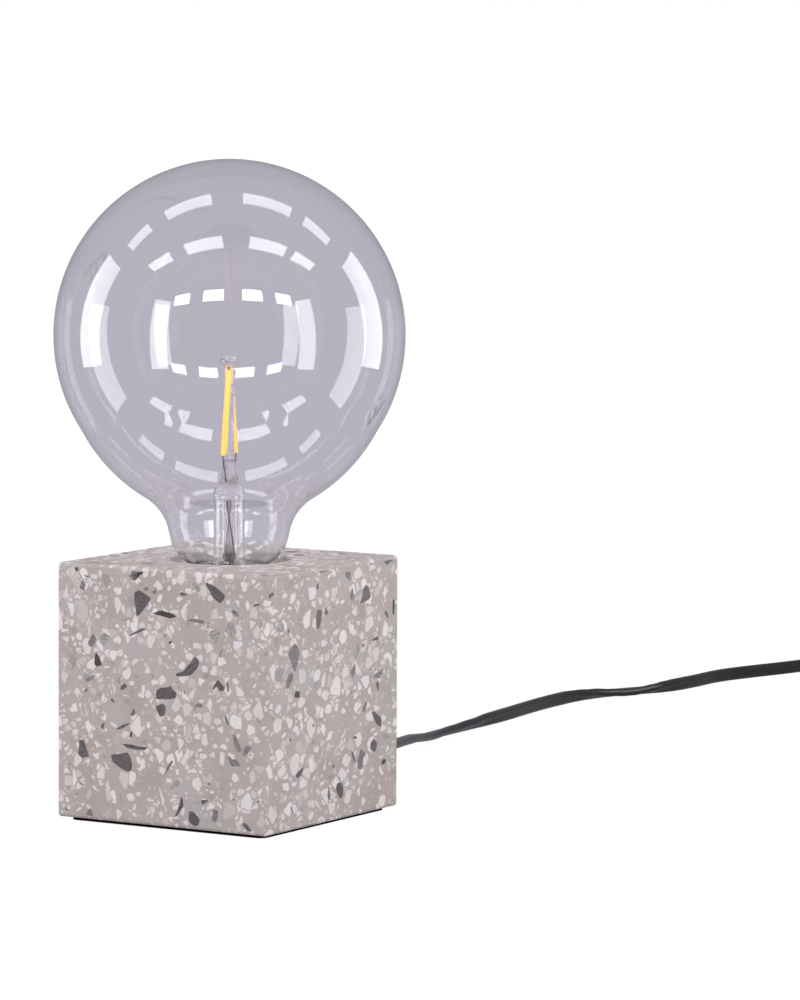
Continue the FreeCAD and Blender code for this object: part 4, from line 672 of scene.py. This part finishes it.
rightChips = (
    (2, (263.3, 590), (265.8, 590.6), (268.7, 592.8), (265.8, 594.1), (263.3, 594.8)),
    (1, (268.4, 597.6), (269, 594.4), (272.2, 591.9), (274.1, 594.4), (271.6, 597), (269.7, 598.6)),
    (1, (318.1, 568.9), (322.6, 567.7), (327.4, 567.3), (328.3, 569.2), (325.8, 571.8), (321, 572.8)),
    (1, (316.5, 589.3), (318.1, 589.3), (319.4, 583), (317.2, 583.9)),
    (1, (316.2, 627), (316.2, 617.4), (317.5, 609.7), (321.6, 609.7), (321.9, 614.8), (320.4, 623.8),
        (318.8, 629.2), (316.8, 628.9)),
    (1, (324.8, 614.8), (324.8, 607.2), (328.3, 612), (326.7, 615.2)),
    (3, (275.4, 631.4), (281.1, 620.3), (283.4, 623.8), (284.6, 631.7), (279.2, 633)),
    (1, (288.1, 634), (287.8, 628.9), (289.1, 628.9), (289.4, 632.7)),
    (2, (291, 647.4), (295.2, 643.2), (297.7, 647.4), (299.6, 651.2), (298.7, 655.1), (297.1, 664.7),
        (295.5, 672), (292.6, 667.9), (290.7, 659.6), (288.1, 654.8)),
    (2, (285.9, 686.4), (286.6, 680.6), (288.8, 673.6), (292.6, 672.3), (293.2, 678.1), (290.1, 685.7),
        (287.5, 689.5)),
    (0, (294.2, 696.9), (295.5, 691.5), (299.6, 691.1), (299.6, 697.5), (296.8, 697.8)),
    (0, (263, 713.1), (266.1, 707.4), (267.1, 708), (263.9, 713.5)),
    (3, (270.3, 717), (274.1, 716.6), (275.7, 720.8), (272.8, 720.2)),
    (1, (312.4, 727.2), (312.7, 723.7), (314, 724), (314, 727.2)),
    (1, (289.1, 741.2), (289.4, 737.7), (291, 738), (290.7, 741.8)),
    (2, (345.3, 576), (345.6, 571.9), (350.7, 571.9), (350.7, 580.2), (349.1, 581.1), (346.9, 577.3)),
    (2, (350.1, 594.5), (352.3, 586.9), (353.9, 593.9), (353.6, 600), (350.7, 599.6)),
    (1, (360, 603.5), (362.5, 594.5), (362.8, 589.4), (366.4, 584.7), (368.9, 588.2), (370.8, 596.5),
        (368.9, 599.6), (363.8, 602.2)),
    (1, (384.2, 613.7), (386.1, 609.5), (388.7, 616.9), (387.7, 618.1)),
    (0, (392.5, 613.7), (392.8, 599.6), (394.4, 599), (394.7, 606), (394.1, 614.6), (393.1, 614.9)),
    (1, (369.9, 640.8), (377.2, 636), (378.5, 639.8), (374.6, 640.5)),
    (1, (384.2, 561.1), (387.4, 558.8), (392.8, 558.5), (393.5, 560.4), (390.6, 561.4), (386.8, 565.5)),
    (2, (361.2, 644.3), (364.8, 643.6), (364.4, 646.8), (362.8, 647.8)),
    (3, (377.2, 628.3), (379.1, 630.3), (381, 634.1), (379.4, 634.1)),
    (3, (358.1, 642.4), (361.3, 644.3), (360, 651.3), (357.4, 655.7), (354.9, 659.6), (353, 654.1)),
    (2, (350.4, 672.3), (354.6, 662.8), (355.5, 671), (352, 679.3)),
    (2, (372.1, 675.5), (378.5, 671.7), (383.3, 668.5), (382.3, 673.6), (379.1, 678.1), (375.3, 678.1)),
    (1, (375.9, 684.4), (377.8, 680), (379.1, 685.7), (378.2, 691.8)),
    (2, (361.2, 711.5), (364.8, 703.6), (367.9, 696.9), (366.7, 704.8), (364.8, 711.9)),
    (1, (371.5, 711.2), (374.6, 711.9), (381.3, 717.6), (380.7, 727.5), (376.6, 724), (373.4, 717.6)),
    (1, (352.3, 737.4), (355.8, 735.5), (357.1, 737.4), (355.5, 739.3)),
    (1, (350.9, 751.6), (353.7, 752.9), (355.5, 761), (354.7, 762.8), (353.2, 759.5)),
    (2, (357.6, 760), (360.6, 748.3), (365.7, 752.9), (365.2, 755.9), (363.2, 757.4), (362.7, 766.6),
        (360.6, 770.2), (357.8, 767.7)),
    (1, (370.1, 748.3), (370.8, 742.7), (374.1, 738.1), (376.9, 742.7), (376.4, 748.3), (374.9, 751.8),
        (371.8, 750.8)),
    (0, (381.3, 762), (383.6, 758.7), (385.9, 759.5), (385.1, 763.6), (382.3, 765.1)),
    (1, (332.3, 766.1), (334.3, 764.1), (334.8, 765.6), (333.6, 768.9)),
    (1, (335.9, 787), (337.7, 782.7), (341.7, 783), (343.5, 790.1), (342.2, 797.8), (339.7, 798.3),
        (336.6, 791.1)),
    (1, (295.2, 775.1), (298.4, 771.2), (302.2, 768.1), (304.1, 766.5), (300.9, 775.7), (297.1, 778.6)),
    (1, (290.4, 807), (291.3, 806.3), (293.6, 813.3), (292.6, 814)),
    (2, (327.4, 796.1), (328.3, 786.6), (330.9, 796.1), (329, 801.2)),
)

grind = {
    "half": 0.04395,
    "low": 0.0013,
    "high": 0.0921,
    "edge": 0.0013,
    "proud": 0.00003,
    "deep": 0.0005,
    "eased": 0.0003,
    "seed": 11,
    "mouth": 0.0242,
    "gap": 0.0012,
    # count, axis and side of each face the photograph doesn't show well
    "unseen": ((46, 0, -1), (44, 1, 1), (26, 2, 1)),
    # smallest and largest half length in metres, and share of the chips
    "sizes": ((0.0006, 0.0011, 0.45), (0.0011, 0.0019, 0.35), (0.0019, 0.0032, 0.20)),
    "narrow": (0.45, 0.9),
    "uneven": (0.8, 1.1),
    "corners": (5, 6, 6, 7),
    "tones": (0, 1, 1, 1, 2, 2, 2, 3),
}


# Points where a chip's corners touch the face, kept clear of the eased edges.
def onFace(corners, axis, level):
    reach = grind["half"] - grind["edge"]
    points = []
    for corner in corners:
        point = spotOn(corner, axis, level)
        for k in (0, 1):
            point[k] = point[k] if k == axis else min(reach, max(-reach, point[k]))
        point.z = min(grind["high"] - grind["edge"], max(grind["low"] + grind["edge"], point.z))
        points.append(point)
    return points


# An uneven outline of five to seven corners about a spot of one face.
def looseOutline(rng, axis, level, u, v, size):
    turn, narrow = rng.uniform(0, math.pi), rng.uniform(*grind["narrow"])
    middle = (grind["low"] + grind["high"]) / 2
    corners = []
    for k in range(rng.choice(grind["corners"])):
        angle = (k + rng.uniform(-0.3, 0.3)) / 6.2 * 2 * math.pi
        x = size * math.cos(angle) * rng.uniform(*grind["uneven"])
        y = size * narrow * math.sin(angle) * rng.uniform(*grind["uneven"])
        a, b = x * math.cos(turn) - y * math.sin(turn), x * math.sin(turn) + y * math.cos(turn)
        spots = ((level, u + a, middle + v + b), (u + a, level, middle + v + b), (u + a, v + b, level))
        corners.append(Vector(spots[axis]))
    return corners


def scatteredChips(rng):
    chips = []
    for count, axis, sign in grind["unseen"]:
        level = grind["high"] if axis == 2 else sign * grind["half"]
        spots = []
        while len(spots) < count:
            pick = rng.random()
            for low, high, share in grind["sizes"]:
                pick -= share
                if pick < 0:
                    break
            size = rng.uniform(low, high)
            reach = grind["half"] - grind["edge"] - size
            u = rng.uniform(-reach, reach)
            v = rng.uniform(-reach, reach)
            if axis == 2 and math.hypot(u, v) < grind["mouth"] + size:
                continue
            if any(math.hypot(u - a, v - b) < size + c + grind["gap"] for a, b, c in spots):
                continue
            spots.append((u, v, size))
            corners = looseOutline(rng, axis, level, u, v, size)
            chips.append((rng.choice(grind["tones"]), corners, axis, sign))
    return chips


# One chip in the piece that is being edited: a flat outline with eased corners, drawn down into the stone.
def layChip(piece, corners, normal):
    bpy.ops.mesh.select_all(action="DESELECT")
    bpy.ops.mesh.primitive_circle_add(vertices=len(corners), radius=mm, fill_type="NGON")
    shape = bmesh.from_edit_mesh(piece.data)
    fresh = [vertex for vertex in shape.verts if vertex.select]
    for vertex, corner in zip(fresh, corners):
        vertex.co = corner + normal * grind["proud"]
    bmesh.update_edit_mesh(piece.data)
    bpy.ops.mesh.bevel(affect="VERTICES", offset=grind["eased"], segments=1, clamp_overlap=True)
    depth = normal * -(grind["proud"] + grind["deep"])
    bpy.ops.mesh.extrude_region_move(TRANSFORM_OT_translate={"value": tuple(depth)})
    return len(bmesh.from_edit_mesh(piece.data).verts)


# Each chip's own tone, and a map on which its layers run at an angle of their own.
def toneChips(mesh, rows, ends, rng):
    tones = mesh.attributes.new("tone", "FLOAT", "POINT")
    layers = mesh.uv_layers.new(name="layers")
    start, looks = 0, []
    for (tone, corners, axis, sign), end in zip(rows, ends):
        shade = min(1, max(0, tone / 3 + rng.uniform(-0.06, 0.06)))
        turn, offset = rng.uniform(0, math.pi), rng.uniform(0, 1)
        for vertex in range(start, end):
            tones.data[vertex].value = shade
            looks.append((axis, turn, offset))
        start = end
    for loop in mesh.loops:
        axis, turn, offset = looks[loop.vertex_index]
        spot = mesh.vertices[loop.vertex_index].co
        first, second = ((1, 2), (0, 2), (0, 1))[axis]
        x, y = spot[first], spot[second]
        layers.data[loop.index].uv = (x * math.cos(turn) + y * math.sin(turn),
                                      offset - x * math.sin(turn) + y * math.cos(turn))


def slateChips():
    rng = random.Random(grind["seed"])
    rows = [(tone, onFace(corners, 1, -grind["half"]), 1, -1) for tone, *corners in frontChips]
    rows += [(tone, onFace(corners, 0, grind["half"]), 0, 1) for tone, *corners in rightChips]
    rows += scatteredChips(rng)
    bpy.ops.object.select_all(action="DESELECT")
    bpy.ops.mesh.primitive_plane_add(size=mm, location=(0, 0, 0))
    piece = bpy.context.object
    piece.name = "slateChips"
    bpy.ops.object.mode_set(mode="EDIT")
    bpy.ops.mesh.select_all(action="SELECT")
    bpy.ops.mesh.delete(type="VERT")
    ends = [layChip(piece, corners, Vector([sign if k == axis else 0 for k in range(3)]))
            for tone, corners, axis, sign in rows]
    bpy.ops.mesh.select_all(action="SELECT")
    bpy.ops.mesh.normals_make_consistent(inside=False)
    bpy.ops.object.mode_set(mode="OBJECT")
    toneChips(piece.data, rows, ends, rng)
    dressed(piece, "terrazzo", finish=slateStone())


slateChips()
print("slate chips set")


# Spins an outline of (distance from the axis, height) points about the lamp's axis.
def spunPiece(name, outline, steps=96, smooth=35):
    bpy.ops.object.select_all(action="DESELECT")
    bpy.ops.mesh.primitive_plane_add(size=mm, location=(0, 0, 0))
    piece = bpy.context.object
    piece.name = name
    bpy.ops.object.mode_set(mode="EDIT")
    bpy.ops.mesh.select_mode(type="VERT")
    bpy.ops.mesh.select_all(action="SELECT")
    bpy.ops.mesh.merge(type="CENTER")
    bpy.ops.transform.translate(value=(outline[0][0], 0, outline[0][1]))
    for (r0, z0), (r1, z1) in zip(outline, outline[1:]):
        bpy.ops.mesh.extrude_region_move(TRANSFORM_OT_translate={"value": (r1 - r0, 0, z1 - z0)})
    bpy.ops.mesh.select_all(action="SELECT")
    bpy.ops.mesh.spin(steps=steps, angle=2 * math.pi, center=(0, 0, 0), axis=(0, 0, 1))
    bpy.ops.object.mode_set(mode="OBJECT")
    outward(piece, smooth)
    return piece


# Points of the arc from a over b to c, all of them (distance, height) pairs.
def arcOver(a, b, c, steps):
    a, b, c = (Vector(p) for p in (a, b, c))
    twice = 2 * (a.x * (b.y - c.y) + b.x * (c.y - a.y) + c.x * (a.y - b.y))
    squares = [p.length_squared for p in (a, b, c)]
    centre = Vector((squares[0] * (b.y - c.y) + squares[1] * (c.y - a.y) + squares[2] * (a.y - b.y),
                     squares[0] * (c.x - b.x) + squares[1] * (a.x - c.x) + squares[2] * (b.x - a.x))) / twice
    first, last = (math.atan2(p.y - centre.y, p.x - centre.x) for p in (a, c))
    turn = (last - first) % (2 * math.pi)
    if (b - a).cross(c - b) < 0:
        turn -= 2 * math.pi
    radius = (a - centre).length
    return [(centre.x + radius * math.cos(first + turn * k / steps),
             centre.y + radius * math.sin(first + turn * k / steps)) for k in range(1, steps + 1)]


bulb = {
    "radius": 0.0625,
    "centre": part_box("glass_envelope")[1][2] - 0.0625,
    "wall": 0.0007,
    "neckRise": 0.0213,
    "neckRadius": 0.022,
    "seatRadius": 0.0127,
    "seatDepth": 0.0035,
    # out from the axis and up from the globe's centre, in globe radii
    "globeShares": ((0, 1), (0.866, 0.5), (0.839, -0.544), (0.698, -0.744), (0.483, -0.922)),
    # out from the axis in neck radii, and up from the rim in neck rises
    "neckShares": ((1.114, 0.981), (1, 0.742), (0.936, 0.46), (0.773, 0.202), (0.586, 0.066)),
    "globeSteps": 160,
    "stemTop": 0.027,
    "stemFoot": 0.0015,
    "stemSteps": 64,
    "rodTop": 0.073,
    "rod": 0.00165,
    "rodEase": 0.0004,
    "rodFoot": 0.0125,
    "tube": 0.0056,
    "tubeBore": 0.0048,
    "tubeFoot": 0.0116,
    "tubeShoulder": 0.0008,
    # flare at the tube's foot: height of its start, then out and up of its middle, outside and inside
    "flareOutside": (0.006, 0.0069, 0.0026),
    "flareInside": (0.0052, 0.0062, 0.0022),
    # closed end of the tube's bore: out from the axis and down from the top
    "boreEnd": ((0.0048, 0.0016), (0.00384, 0.0003), (0.0022, 0), (0, 0)),
    # radius of the bore, radius outside, length, and the room left under the press
    "exhaust": (0.0015, 0.0020, 0.030, 0.0002),
    # press above the tube: out from the axis and up from the tube's top, in metres
    "press": ((0.0056, 0.0002), (0.0053, 0.0014), (0.0045, 0.0029), (0.0035, 0.0046), (0.0029, 0.0064),
              (0.0027, 0.0082), (0.0026, 0.0100), (0.0022, 0.0117)),
    # depth and grain of the melted dents, and how often the mesh is halved for them
    "pressDents": (0.0007, 0.0006, 2),
    "beadDents": (0.0006, 0.0006, 1),
    "beadShares": ((0, 0), (0.55, 0.02), (0.85, 0.1), (1, 0.35), (0.95, 0.6), (0.72, 0.86), (0.4, 0.97),
                   (0, 1)),
    "bead": (0.0036, 0.0034),
    "filament": 0.00095,
    # distance from the axis, heading in degrees and drop below the rod's top
    "filamentTop": (0.0030, -62.0, 0.0014),
    "filamentFoot": (0.0063, -77.4, 0.0317),
}
bulb["rim"] = bulb["centre"] - bulb["radius"] - bulb["neckRise"]


def globeGlass():
    centre, radius, rim = bulb["centre"], bulb["radius"], bulb["rim"]
    points = [(out * radius, centre + up * radius) for out, up in bulb["globeShares"]]
    points += [(out * bulb["neckRadius"], rim + up * bulb["neckRise"]) for out, up in bulb["neckShares"]]
    points[-1] = (bulb["seatRadius"], points[-1][1])
    line = points[:1]
    for start, steps in ((0, 56), (2, 16), (4, 12)):
        line += arcOver(*points[start:start + 3], steps)
    line += [points[7]] + arcOver(*points[7:10], 12)
    line.append((bulb["seatRadius"], rim - bulb["seatDepth"]))
    inner = []
    for k, here in enumerate(line):
        run = Vector(line[min(k + 1, len(line) - 1)]) - Vector(line[max(k - 1, 0)])
        run.normalize()
        inner.append((max(0, here[0] + run.y * bulb["wall"]), here[1] - run.x * bulb["wall"]))
    inner[0] = (0, line[0][1] - bulb["wall"])
    piece = spunPiece("globeGlass", line + inner[::-1], bulb["globeSteps"], 30)
    dressed(piece, "clear_glass", "bulb", ["glass_envelope"])


# The stem in one piece: solid rod, press, hollow tube and its flared foot.
def stemGlass():
    top, rodTop = bulb["rim"] + bulb["stemTop"], bulb["rim"] + bulb["rodTop"]
    foot, footReach = bulb["rim"] - bulb["stemFoot"], bulb["tubeFoot"]
    wall = bulb["tube"] - bulb["tubeBore"]
    line = [(0, rodTop), (bulb["rod"] * 0.8, rodTop), (bulb["rod"], rodTop - bulb["rodEase"])]
    line += [(bulb["rod"], top + bulb["rodFoot"])] + [(r, top + z) for r, z in reversed(bulb["press"])]
    rise, out, up = bulb["flareOutside"]
    line += [(bulb["tube"], top - bulb["tubeShoulder"]), (bulb["tube"], foot + rise)]
    line += arcOver((bulb["tube"], foot + rise), (out, foot + up), (footReach, foot + wall), 8)
    rise, out, up = bulb["flareInside"]
    line += [(footReach, foot), (footReach - wall, foot)]
    line += arcOver((footReach - wall, foot), (out, foot + up), (bulb["tubeBore"], foot + rise), 8)
    line += [(r, top - drop) for r, drop in bulb["boreEnd"]]
    piece = spunPiece("stemGlass", line, bulb["stemSteps"], 30)
    melt(piece, bulb["pressDents"], top + 0.0001, top + 0.0121)
    dressed(piece, "clear_glass", "bulb", ["glass_stem"], clearGlass("leadGlassPress", "#ffffff", top + 0.0004))


def exhaustTube():
    bore, outside, length, room = bulb["exhaust"]
    top = bulb["rim"] + bulb["stemTop"]
    low, high = top - length, top - room
    line = [(bore, low), (outside, low), (outside, high), (bore, high), (bore, low)]
    tube = spunPiece("exhaustTube", line, 32, 30)
    dressed(tube, "clear_glass", "bulb", ["exhaust_tube"], clearGlass("leadGlassStem", "#ffffff"))


def crownBead():
    radius, height = bulb["bead"]
    foot = bulb["rim"] + bulb["rodTop"]
    line = [(out * radius, foot + up * height) for out, up in bulb["beadShares"]]
    bead = spunPiece("crownBead", line, 40, 30)
    melt(bead, bulb["beadDents"], foot + 0.0002, foot + height * 1.1)
    dressed(bead, "clear_glass", "bulb", ["rod_bead"], clearGlass("leadGlassBead", "#ffffff", foot))


# Melted and pinched glass: small dents that catch the light, kept between two heights.
def melt(piece, dents, low, high):
    depth, grain, halved = dents
    bpy.context.view_layer.objects.active = piece
    group = piece.vertex_groups.new(name="melted")
    reached = [v.index for v in piece.data.vertices if low < v.co.z < high and v.co.xy.length > 0.0005]
    group.add(reached, 1.0, "REPLACE")
    bpy.ops.object.modifier_add(type="SUBSURF")
    finer = piece.modifiers[-1]
    finer.subdivision_type, finer.levels, finer.render_levels = "SIMPLE", halved, halved
    bpy.ops.object.modifier_apply(modifier=finer.name)
    bpy.ops.object.modifier_add(type="DISPLACE")
    dented = piece.modifiers[-1]
    dented.texture = bpy.data.textures.new(piece.name, "CLOUDS")
    dented.texture.noise_scale = grain
    dented.strength, dented.mid_level, dented.vertex_group = depth, 0.5, "melted"
    bpy.ops.object.modifier_apply(modifier=dented.name)
    outward(piece, 50)


def around(spot, side):
    spread, direction, drop = spot
    angle = math.radians(direction + side)
    return Vector((spread * math.cos(angle), spread * math.sin(angle), bulb["rim"] + bulb["rodTop"] - drop))


# A filament: a straight strip in its yellow coat, with the ends of the coat rounded over.
def filamentCoat(name, side, node):
    top, foot = around(bulb["filamentTop"], side), around(bulb["filamentFoot"], side)
    run = top - foot
    slant = run.to_track_quat("Z", "Y").to_euler()
    bpy.ops.object.select_all(action="DESELECT")
    bpy.ops.mesh.primitive_cylinder_add(vertices=24, radius=bulb["filament"], depth=run.length,
                                        location=(top + foot) / 2, rotation=slant)
    piece = bpy.context.object
    piece.name = name
    bpy.ops.object.transform_apply(location=True, rotation=True, scale=True)
    bpy.ops.object.mode_set(mode="EDIT")
    bpy.ops.mesh.select_mode(type="EDGE")
    bpy.ops.mesh.select_all(action="DESELECT")
    shape = bmesh.from_edit_mesh(piece.data)
    for edge in shape.edges:
        along = (edge.verts[0].co - edge.verts[1].co).normalized().dot(run.normalized())
        edge.select = abs(along) < 0.5
    bmesh.update_edit_mesh(piece.data)
    bpy.ops.mesh.bevel(offset=bulb["filament"] * 0.7, segments=4)
    bpy.ops.object.mode_set(mode="OBJECT")
    outward(piece, 40)
    dressed(piece, "phosphor", "bulb", [node])


globeGlass()
stemGlass()
exhaustTube()
crownBead()
filamentCoat("filamentCoatFront", 0, "filament_front")
filamentCoat("filamentCoatBack", 180, "filament_back")
print("bulb blown")

relief = {
    # height above the root and radius, for the part of the outlet bush that isn't ribbed
    "bushFoot": ((-0.010, 0.00515), (0, 0.00515), (0, 0.0072), (0.0012, 0.0072), (0.0016, 0.0068),
                 (0.0016, 0.0050)),
    # length, radius at the root and at the tip, and how many ribs
    "bushTail": (0.019, 0.0049, 0.0041, 6),
    "boot": (0.020, 0.0055, 0.0040, 7),
    "plugBoot": (0.025, 0.0055, 0.0040, 9),
    "plainRoot": 0.0012,
    "plainTip": 0.0016,
    "tipRound": 0.0005,
    # one rib: share of the pitch, and share of the groove's depth
    "rib": ((0, 0), (0.18, 1), (0.43, 1), (0.55, 0)),
    "groove": 0.0007,
}


# A moulded strain relief: a taper with rounded ribs, spun upright, then laid along the lead.
def ribbedRelief(name, spot, sign, sizes, foot=()):
    length, root, tip, ribs = sizes
    line = [(r, z) for z, r in foot] or [(root, 0)]
    line = [(0, line[0][1])] + line
    start = line[-1][1] + relief["plainRoot"]
    pitch = (length - relief["plainTip"] - start) / ribs
    for k in range(ribs):
        for step, sunk in relief["rib"]:
            z = start + (k + step) * pitch
            line.append((root + (tip - root) * z / length - sunk * relief["groove"], z))
    line += [(tip, length - relief["tipRound"]), (tip - relief["tipRound"], length), (0, length)]
    piece = spunPiece(name, line, 48, 30)
    bpy.ops.object.select_all(action="DESELECT")
    bpy.context.view_layer.objects.active = piece
    piece.select_set(True)
    bpy.ops.object.mode_set(mode="EDIT")
    bpy.ops.mesh.select_all(action="SELECT")
    bpy.ops.transform.rotate(value=math.radians(90) * sign, orient_axis="X", center_override=(0, 0, 0))
    bpy.ops.transform.translate(value=spot)
    bpy.ops.object.mode_set(mode="OBJECT")
    piece.select_set(False)
    return piece


bushLow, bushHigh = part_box("outlet_bush")
outlet = (0, grind["half"], (bushLow[2] + bushHigh[2]) / 2)
bushTail = ribbedRelief("outletBush", outlet, 1, relief["bushTail"], relief["bushFoot"])
dressed(bushTail, "black_moulding", "root", ["outlet_bush"])

switchLow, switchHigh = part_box("switch_base")
middle, split = (switchLow[0] + switchHigh[0]) / 2, switchHigh[2]
bootThere = ribbedRelief("switchBootLampSide", (middle, switchHigh[1], split), 1, relief["boot"])
bootHere = ribbedRelief("switchBootPlugSide", (middle, switchLow[1], split), -1, relief["boot"])
dressed(bootThere, "black_moulding", "root", ["switch_boots"])
dressed(bootHere, "black_moulding")

plugLow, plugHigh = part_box("plug_body")
plugRoot = ((plugLow[0] + plugHigh[0]) / 2, plugLow[1], plugHigh[2] / 2)
plugRelief = ribbedRelief("plugRelief", plugRoot, -1, relief["plugBoot"])
dressed(plugRelief, "black_moulding", "root", ["plug_boot"])

plug = {
    # distance back from the face, and half width
    "plan": ((0, 0.01765), (0.013, 0.01765), (0.036, 0.0075)),
    "height": 0.0137,
    "round": 0.0028,
    "gripInset": 0.0030,
    "gripDepth": 0.0006,
    # faces above and below are larger than this, in square metres
    "gripFace": 0.0002,
}


# The plug's body: its plan drawn up, rounded all over, with a sunk grip above and below.
def plugShell():
    middle, face = plugRoot[0], plugHigh[1]
    plan = [(middle + wide, face - back) for back, wide in plug["plan"]]
    plan += [(middle - wide, face - back) for back, wide in reversed(plug["plan"])]
    bpy.ops.object.select_all(action="DESELECT")
    bpy.ops.mesh.primitive_circle_add(vertices=len(plan), radius=mm, fill_type="NGON")
    piece = bpy.context.object
    piece.name = "plugShell"
    bpy.ops.object.mode_set(mode="EDIT")
    bpy.ops.mesh.select_mode(type="VERT")
    shape = bmesh.from_edit_mesh(piece.data)
    for vertex, spot in zip(shape.verts, plan):
        vertex.co = (*spot, 0)
    bmesh.update_edit_mesh(piece.data)
    bpy.ops.mesh.select_all(action="SELECT")
    bpy.ops.mesh.extrude_region_move(TRANSFORM_OT_translate={"value": (0, 0, plug["height"])})
    bpy.ops.mesh.select_all(action="SELECT")
    bpy.ops.mesh.normals_make_consistent(inside=False)
    bpy.ops.mesh.bevel(offset=plug["round"], segments=5)
    bpy.ops.mesh.select_mode(type="FACE")
    bpy.ops.mesh.select_all(action="DESELECT")
    shape = bmesh.from_edit_mesh(piece.data)
    for side in shape.faces:
        side.select = abs(side.normal.z) > 0.99 and side.calc_area() > plug["gripFace"]
    bmesh.update_edit_mesh(piece.data)
    bpy.ops.mesh.inset(thickness=plug["gripInset"])
    bpy.ops.mesh.inset(thickness=plug["gripDepth"], depth=-plug["gripDepth"])
    bpy.ops.object.mode_set(mode="OBJECT")
    outward(piece, 40)
    return dressed(piece, "black_moulding", "root", ["plug_body"])


plugBody = plugShell()
print("fittings moulded")

studio = {
    # the lamps stand square to a line a little to the side of the camera's
    "turn": 4.0,
    # ceiling rows: height over the globe, distance towards the camera, depth, brightness, from and to the side
    "rows": (
        (1.5, -0.36, 0.30, 2.7, ((-1.73, -1.11), (-0.80, -0.19), (0.16, 0.77), (1.00, 1.63))),
        (1.5, 0.67, 0.29, 4.4, ((-1.75, -1.11), (-0.78, -0.135), (0.28, 0.94), (1.12, 1.75))),
    ),
    # upright row: distance, lowest and highest over the globe, brightness, from and to the side
    "front": (2.0, 0.985, 1.315, 12.0, ((-1.726, -1.178), (-0.764, -0.23), (0.23, 0.764), (1.178, 1.726))),
    # boxes beside the lamp: heading in degrees, distance, half width in degrees, lowest, highest, brightness
    "boxes": ((47.0, 0.55, 5.6, -0.165, 0.228, 3.7), (102.3, 0.65, 9.9, -0.156, 0.40, 2.8)),
    # the room as it lights the lamp, as mirror images show it, and as it shows through glass
    "surround": 0.30,
    "mirrored": (0.37, 0.355, 0.395),
    "through": (0.485, 0.463, 0.54),
    # the floor's own tone, the light that whitens it, and how far from the lamp its shadow fades out
    "paper": 0.62,
    "glow": 1.1,
    "glowShare": 0.86,
    "shadowStart": 0.3,
    "shadowReach": 1.4,
    "floorFront": 0.47,
    "floorSize": 30.0,
}


def panel(name, middle, facing, across, width, height, brightness):
    bpy.ops.object.light_add(type="AREA", location=middle)
    lamp = bpy.context.object
    lamp.name = name
    lamp.rotation_euler = Matrix((across, -facing.cross(across), -facing)).transposed().to_euler()
    lamp.data.shape = "RECTANGLE"
    lamp.data.size, lamp.data.size_y = width, height
    lamp.data.energy = brightness * 4 * width * height
    lamp.visible_camera = False


def heading(degrees):
    angle = math.radians(camera["azimuth"] + studio["turn"] + degrees)
    return Vector((math.sin(angle), -math.cos(angle), 0))


def lightStudio():
    forward, up = heading(0), Vector((0, 0, 1))
    side = up.cross(forward)
    globe = Vector((0, 0, bulb["centre"]))
    for row, (height, ahead, depth, brightness, places) in enumerate(studio["rows"]):
        for number, (low, high) in enumerate(places):
            middle = globe + forward * ahead + side * (low + high) / 2 + up * height
            panel(f"ceilingPanel{row}{number}", middle, -up, side, high - low, depth, brightness)
    ahead, bottom, top, brightness, places = studio["front"]
    for number, (low, high) in enumerate(places):
        middle = globe + forward * ahead + side * (low + high) / 2 + up * (bottom + top) / 2
        panel(f"frontPanel{number}", middle, -forward, side, high - low, top - bottom, brightness)
    for degrees, distance, half, low, high, brightness in studio["boxes"]:
        for sign in (-1, 1):
            toward = heading(sign * degrees)
            middle = globe + toward * distance + up * (low + high) / 2
            width, across = 2 * distance * math.tan(math.radians(half)), up.cross(toward)
            panel(f"sideBox{degrees * sign:.0f}", middle, -toward, across, width, high - low, brightness)


# The studio's tone as each ray finds it: grey in mirror images and through glass, white to the eye.
def seenTone(owner, plain):
    path = addNode(owner, "LightPath").node.outputs
    tone, known = (plain, plain, plain, 1), 0.0
    for ray, shade in (("Is Glossy Ray", studio["mirrored"]), ("Is Transmission Ray", studio["through"]),
                       ("Is Camera Ray", (1, 1, 1))):
        tone = addNode(owner, "Mix", {0: path[ray], 6: tone, 7: (*shade, 1)}, **mixing)
        known = addNode(owner, "Math", [path[ray], known], operation="MAXIMUM")
    return tone, known


def surround():
    world = bpy.data.worlds.new("paleStudio")
    world.use_nodes = True
    bpy.context.scene.world = world
    tone, known = seenTone(world, studio["surround"])
    world.node_tree.links.new(tone, world.node_tree.nodes["Background"].inputs["Color"])
    world.node_tree.nodes["Background"].inputs["Strength"].default_value = 1.0


# Matt paper that takes the lamp's shadow and turns white to the eye with the distance.
def paperSweep():
    finish = newFinish("paperSweep")
    paper = addNode(finish, "BsdfDiffuse", {"Color": (studio["paper"],) * 3 + (1,)})
    tone, known = seenTone(finish, 0)
    glow = addNode(finish, "Emission", {"Color": tone, "Strength": studio["glow"]})
    place = addNode(finish, "TexCoord", give="Object")
    away = addNode(finish, "VectorMath", [place], "Value", operation="LENGTH")
    share = addNode(finish, "MapRange", {
        "Value": away, "From Min": studio["shadowStart"], "From Max": studio["shadowReach"],
        "To Min": studio["glowShare"]})
    share = addNode(finish, "Math", [known, share], operation="MULTIPLY")
    addNode(finish, "OutputMaterial", {"Surface": addNode(finish, "MixShader", [share, paper, glow])})
    return finish


def layFloor():
    size = studio["floorSize"]
    bpy.ops.mesh.primitive_plane_add(size=size, location=heading(0) * (studio["floorFront"] - size / 2),
                                     rotation=(0, 0, math.radians(camera["azimuth"] + studio["turn"])))
    floor = bpy.context.object
    floor.name = "studioFloor"
    bpy.ops.object.transform_apply(location=True, rotation=True, scale=True)
    dress(floor, paperSweep())


lightStudio()
surround()
layFloor()
bpy.context.scene.view_settings.view_transform = "Standard"
print("studio lit")
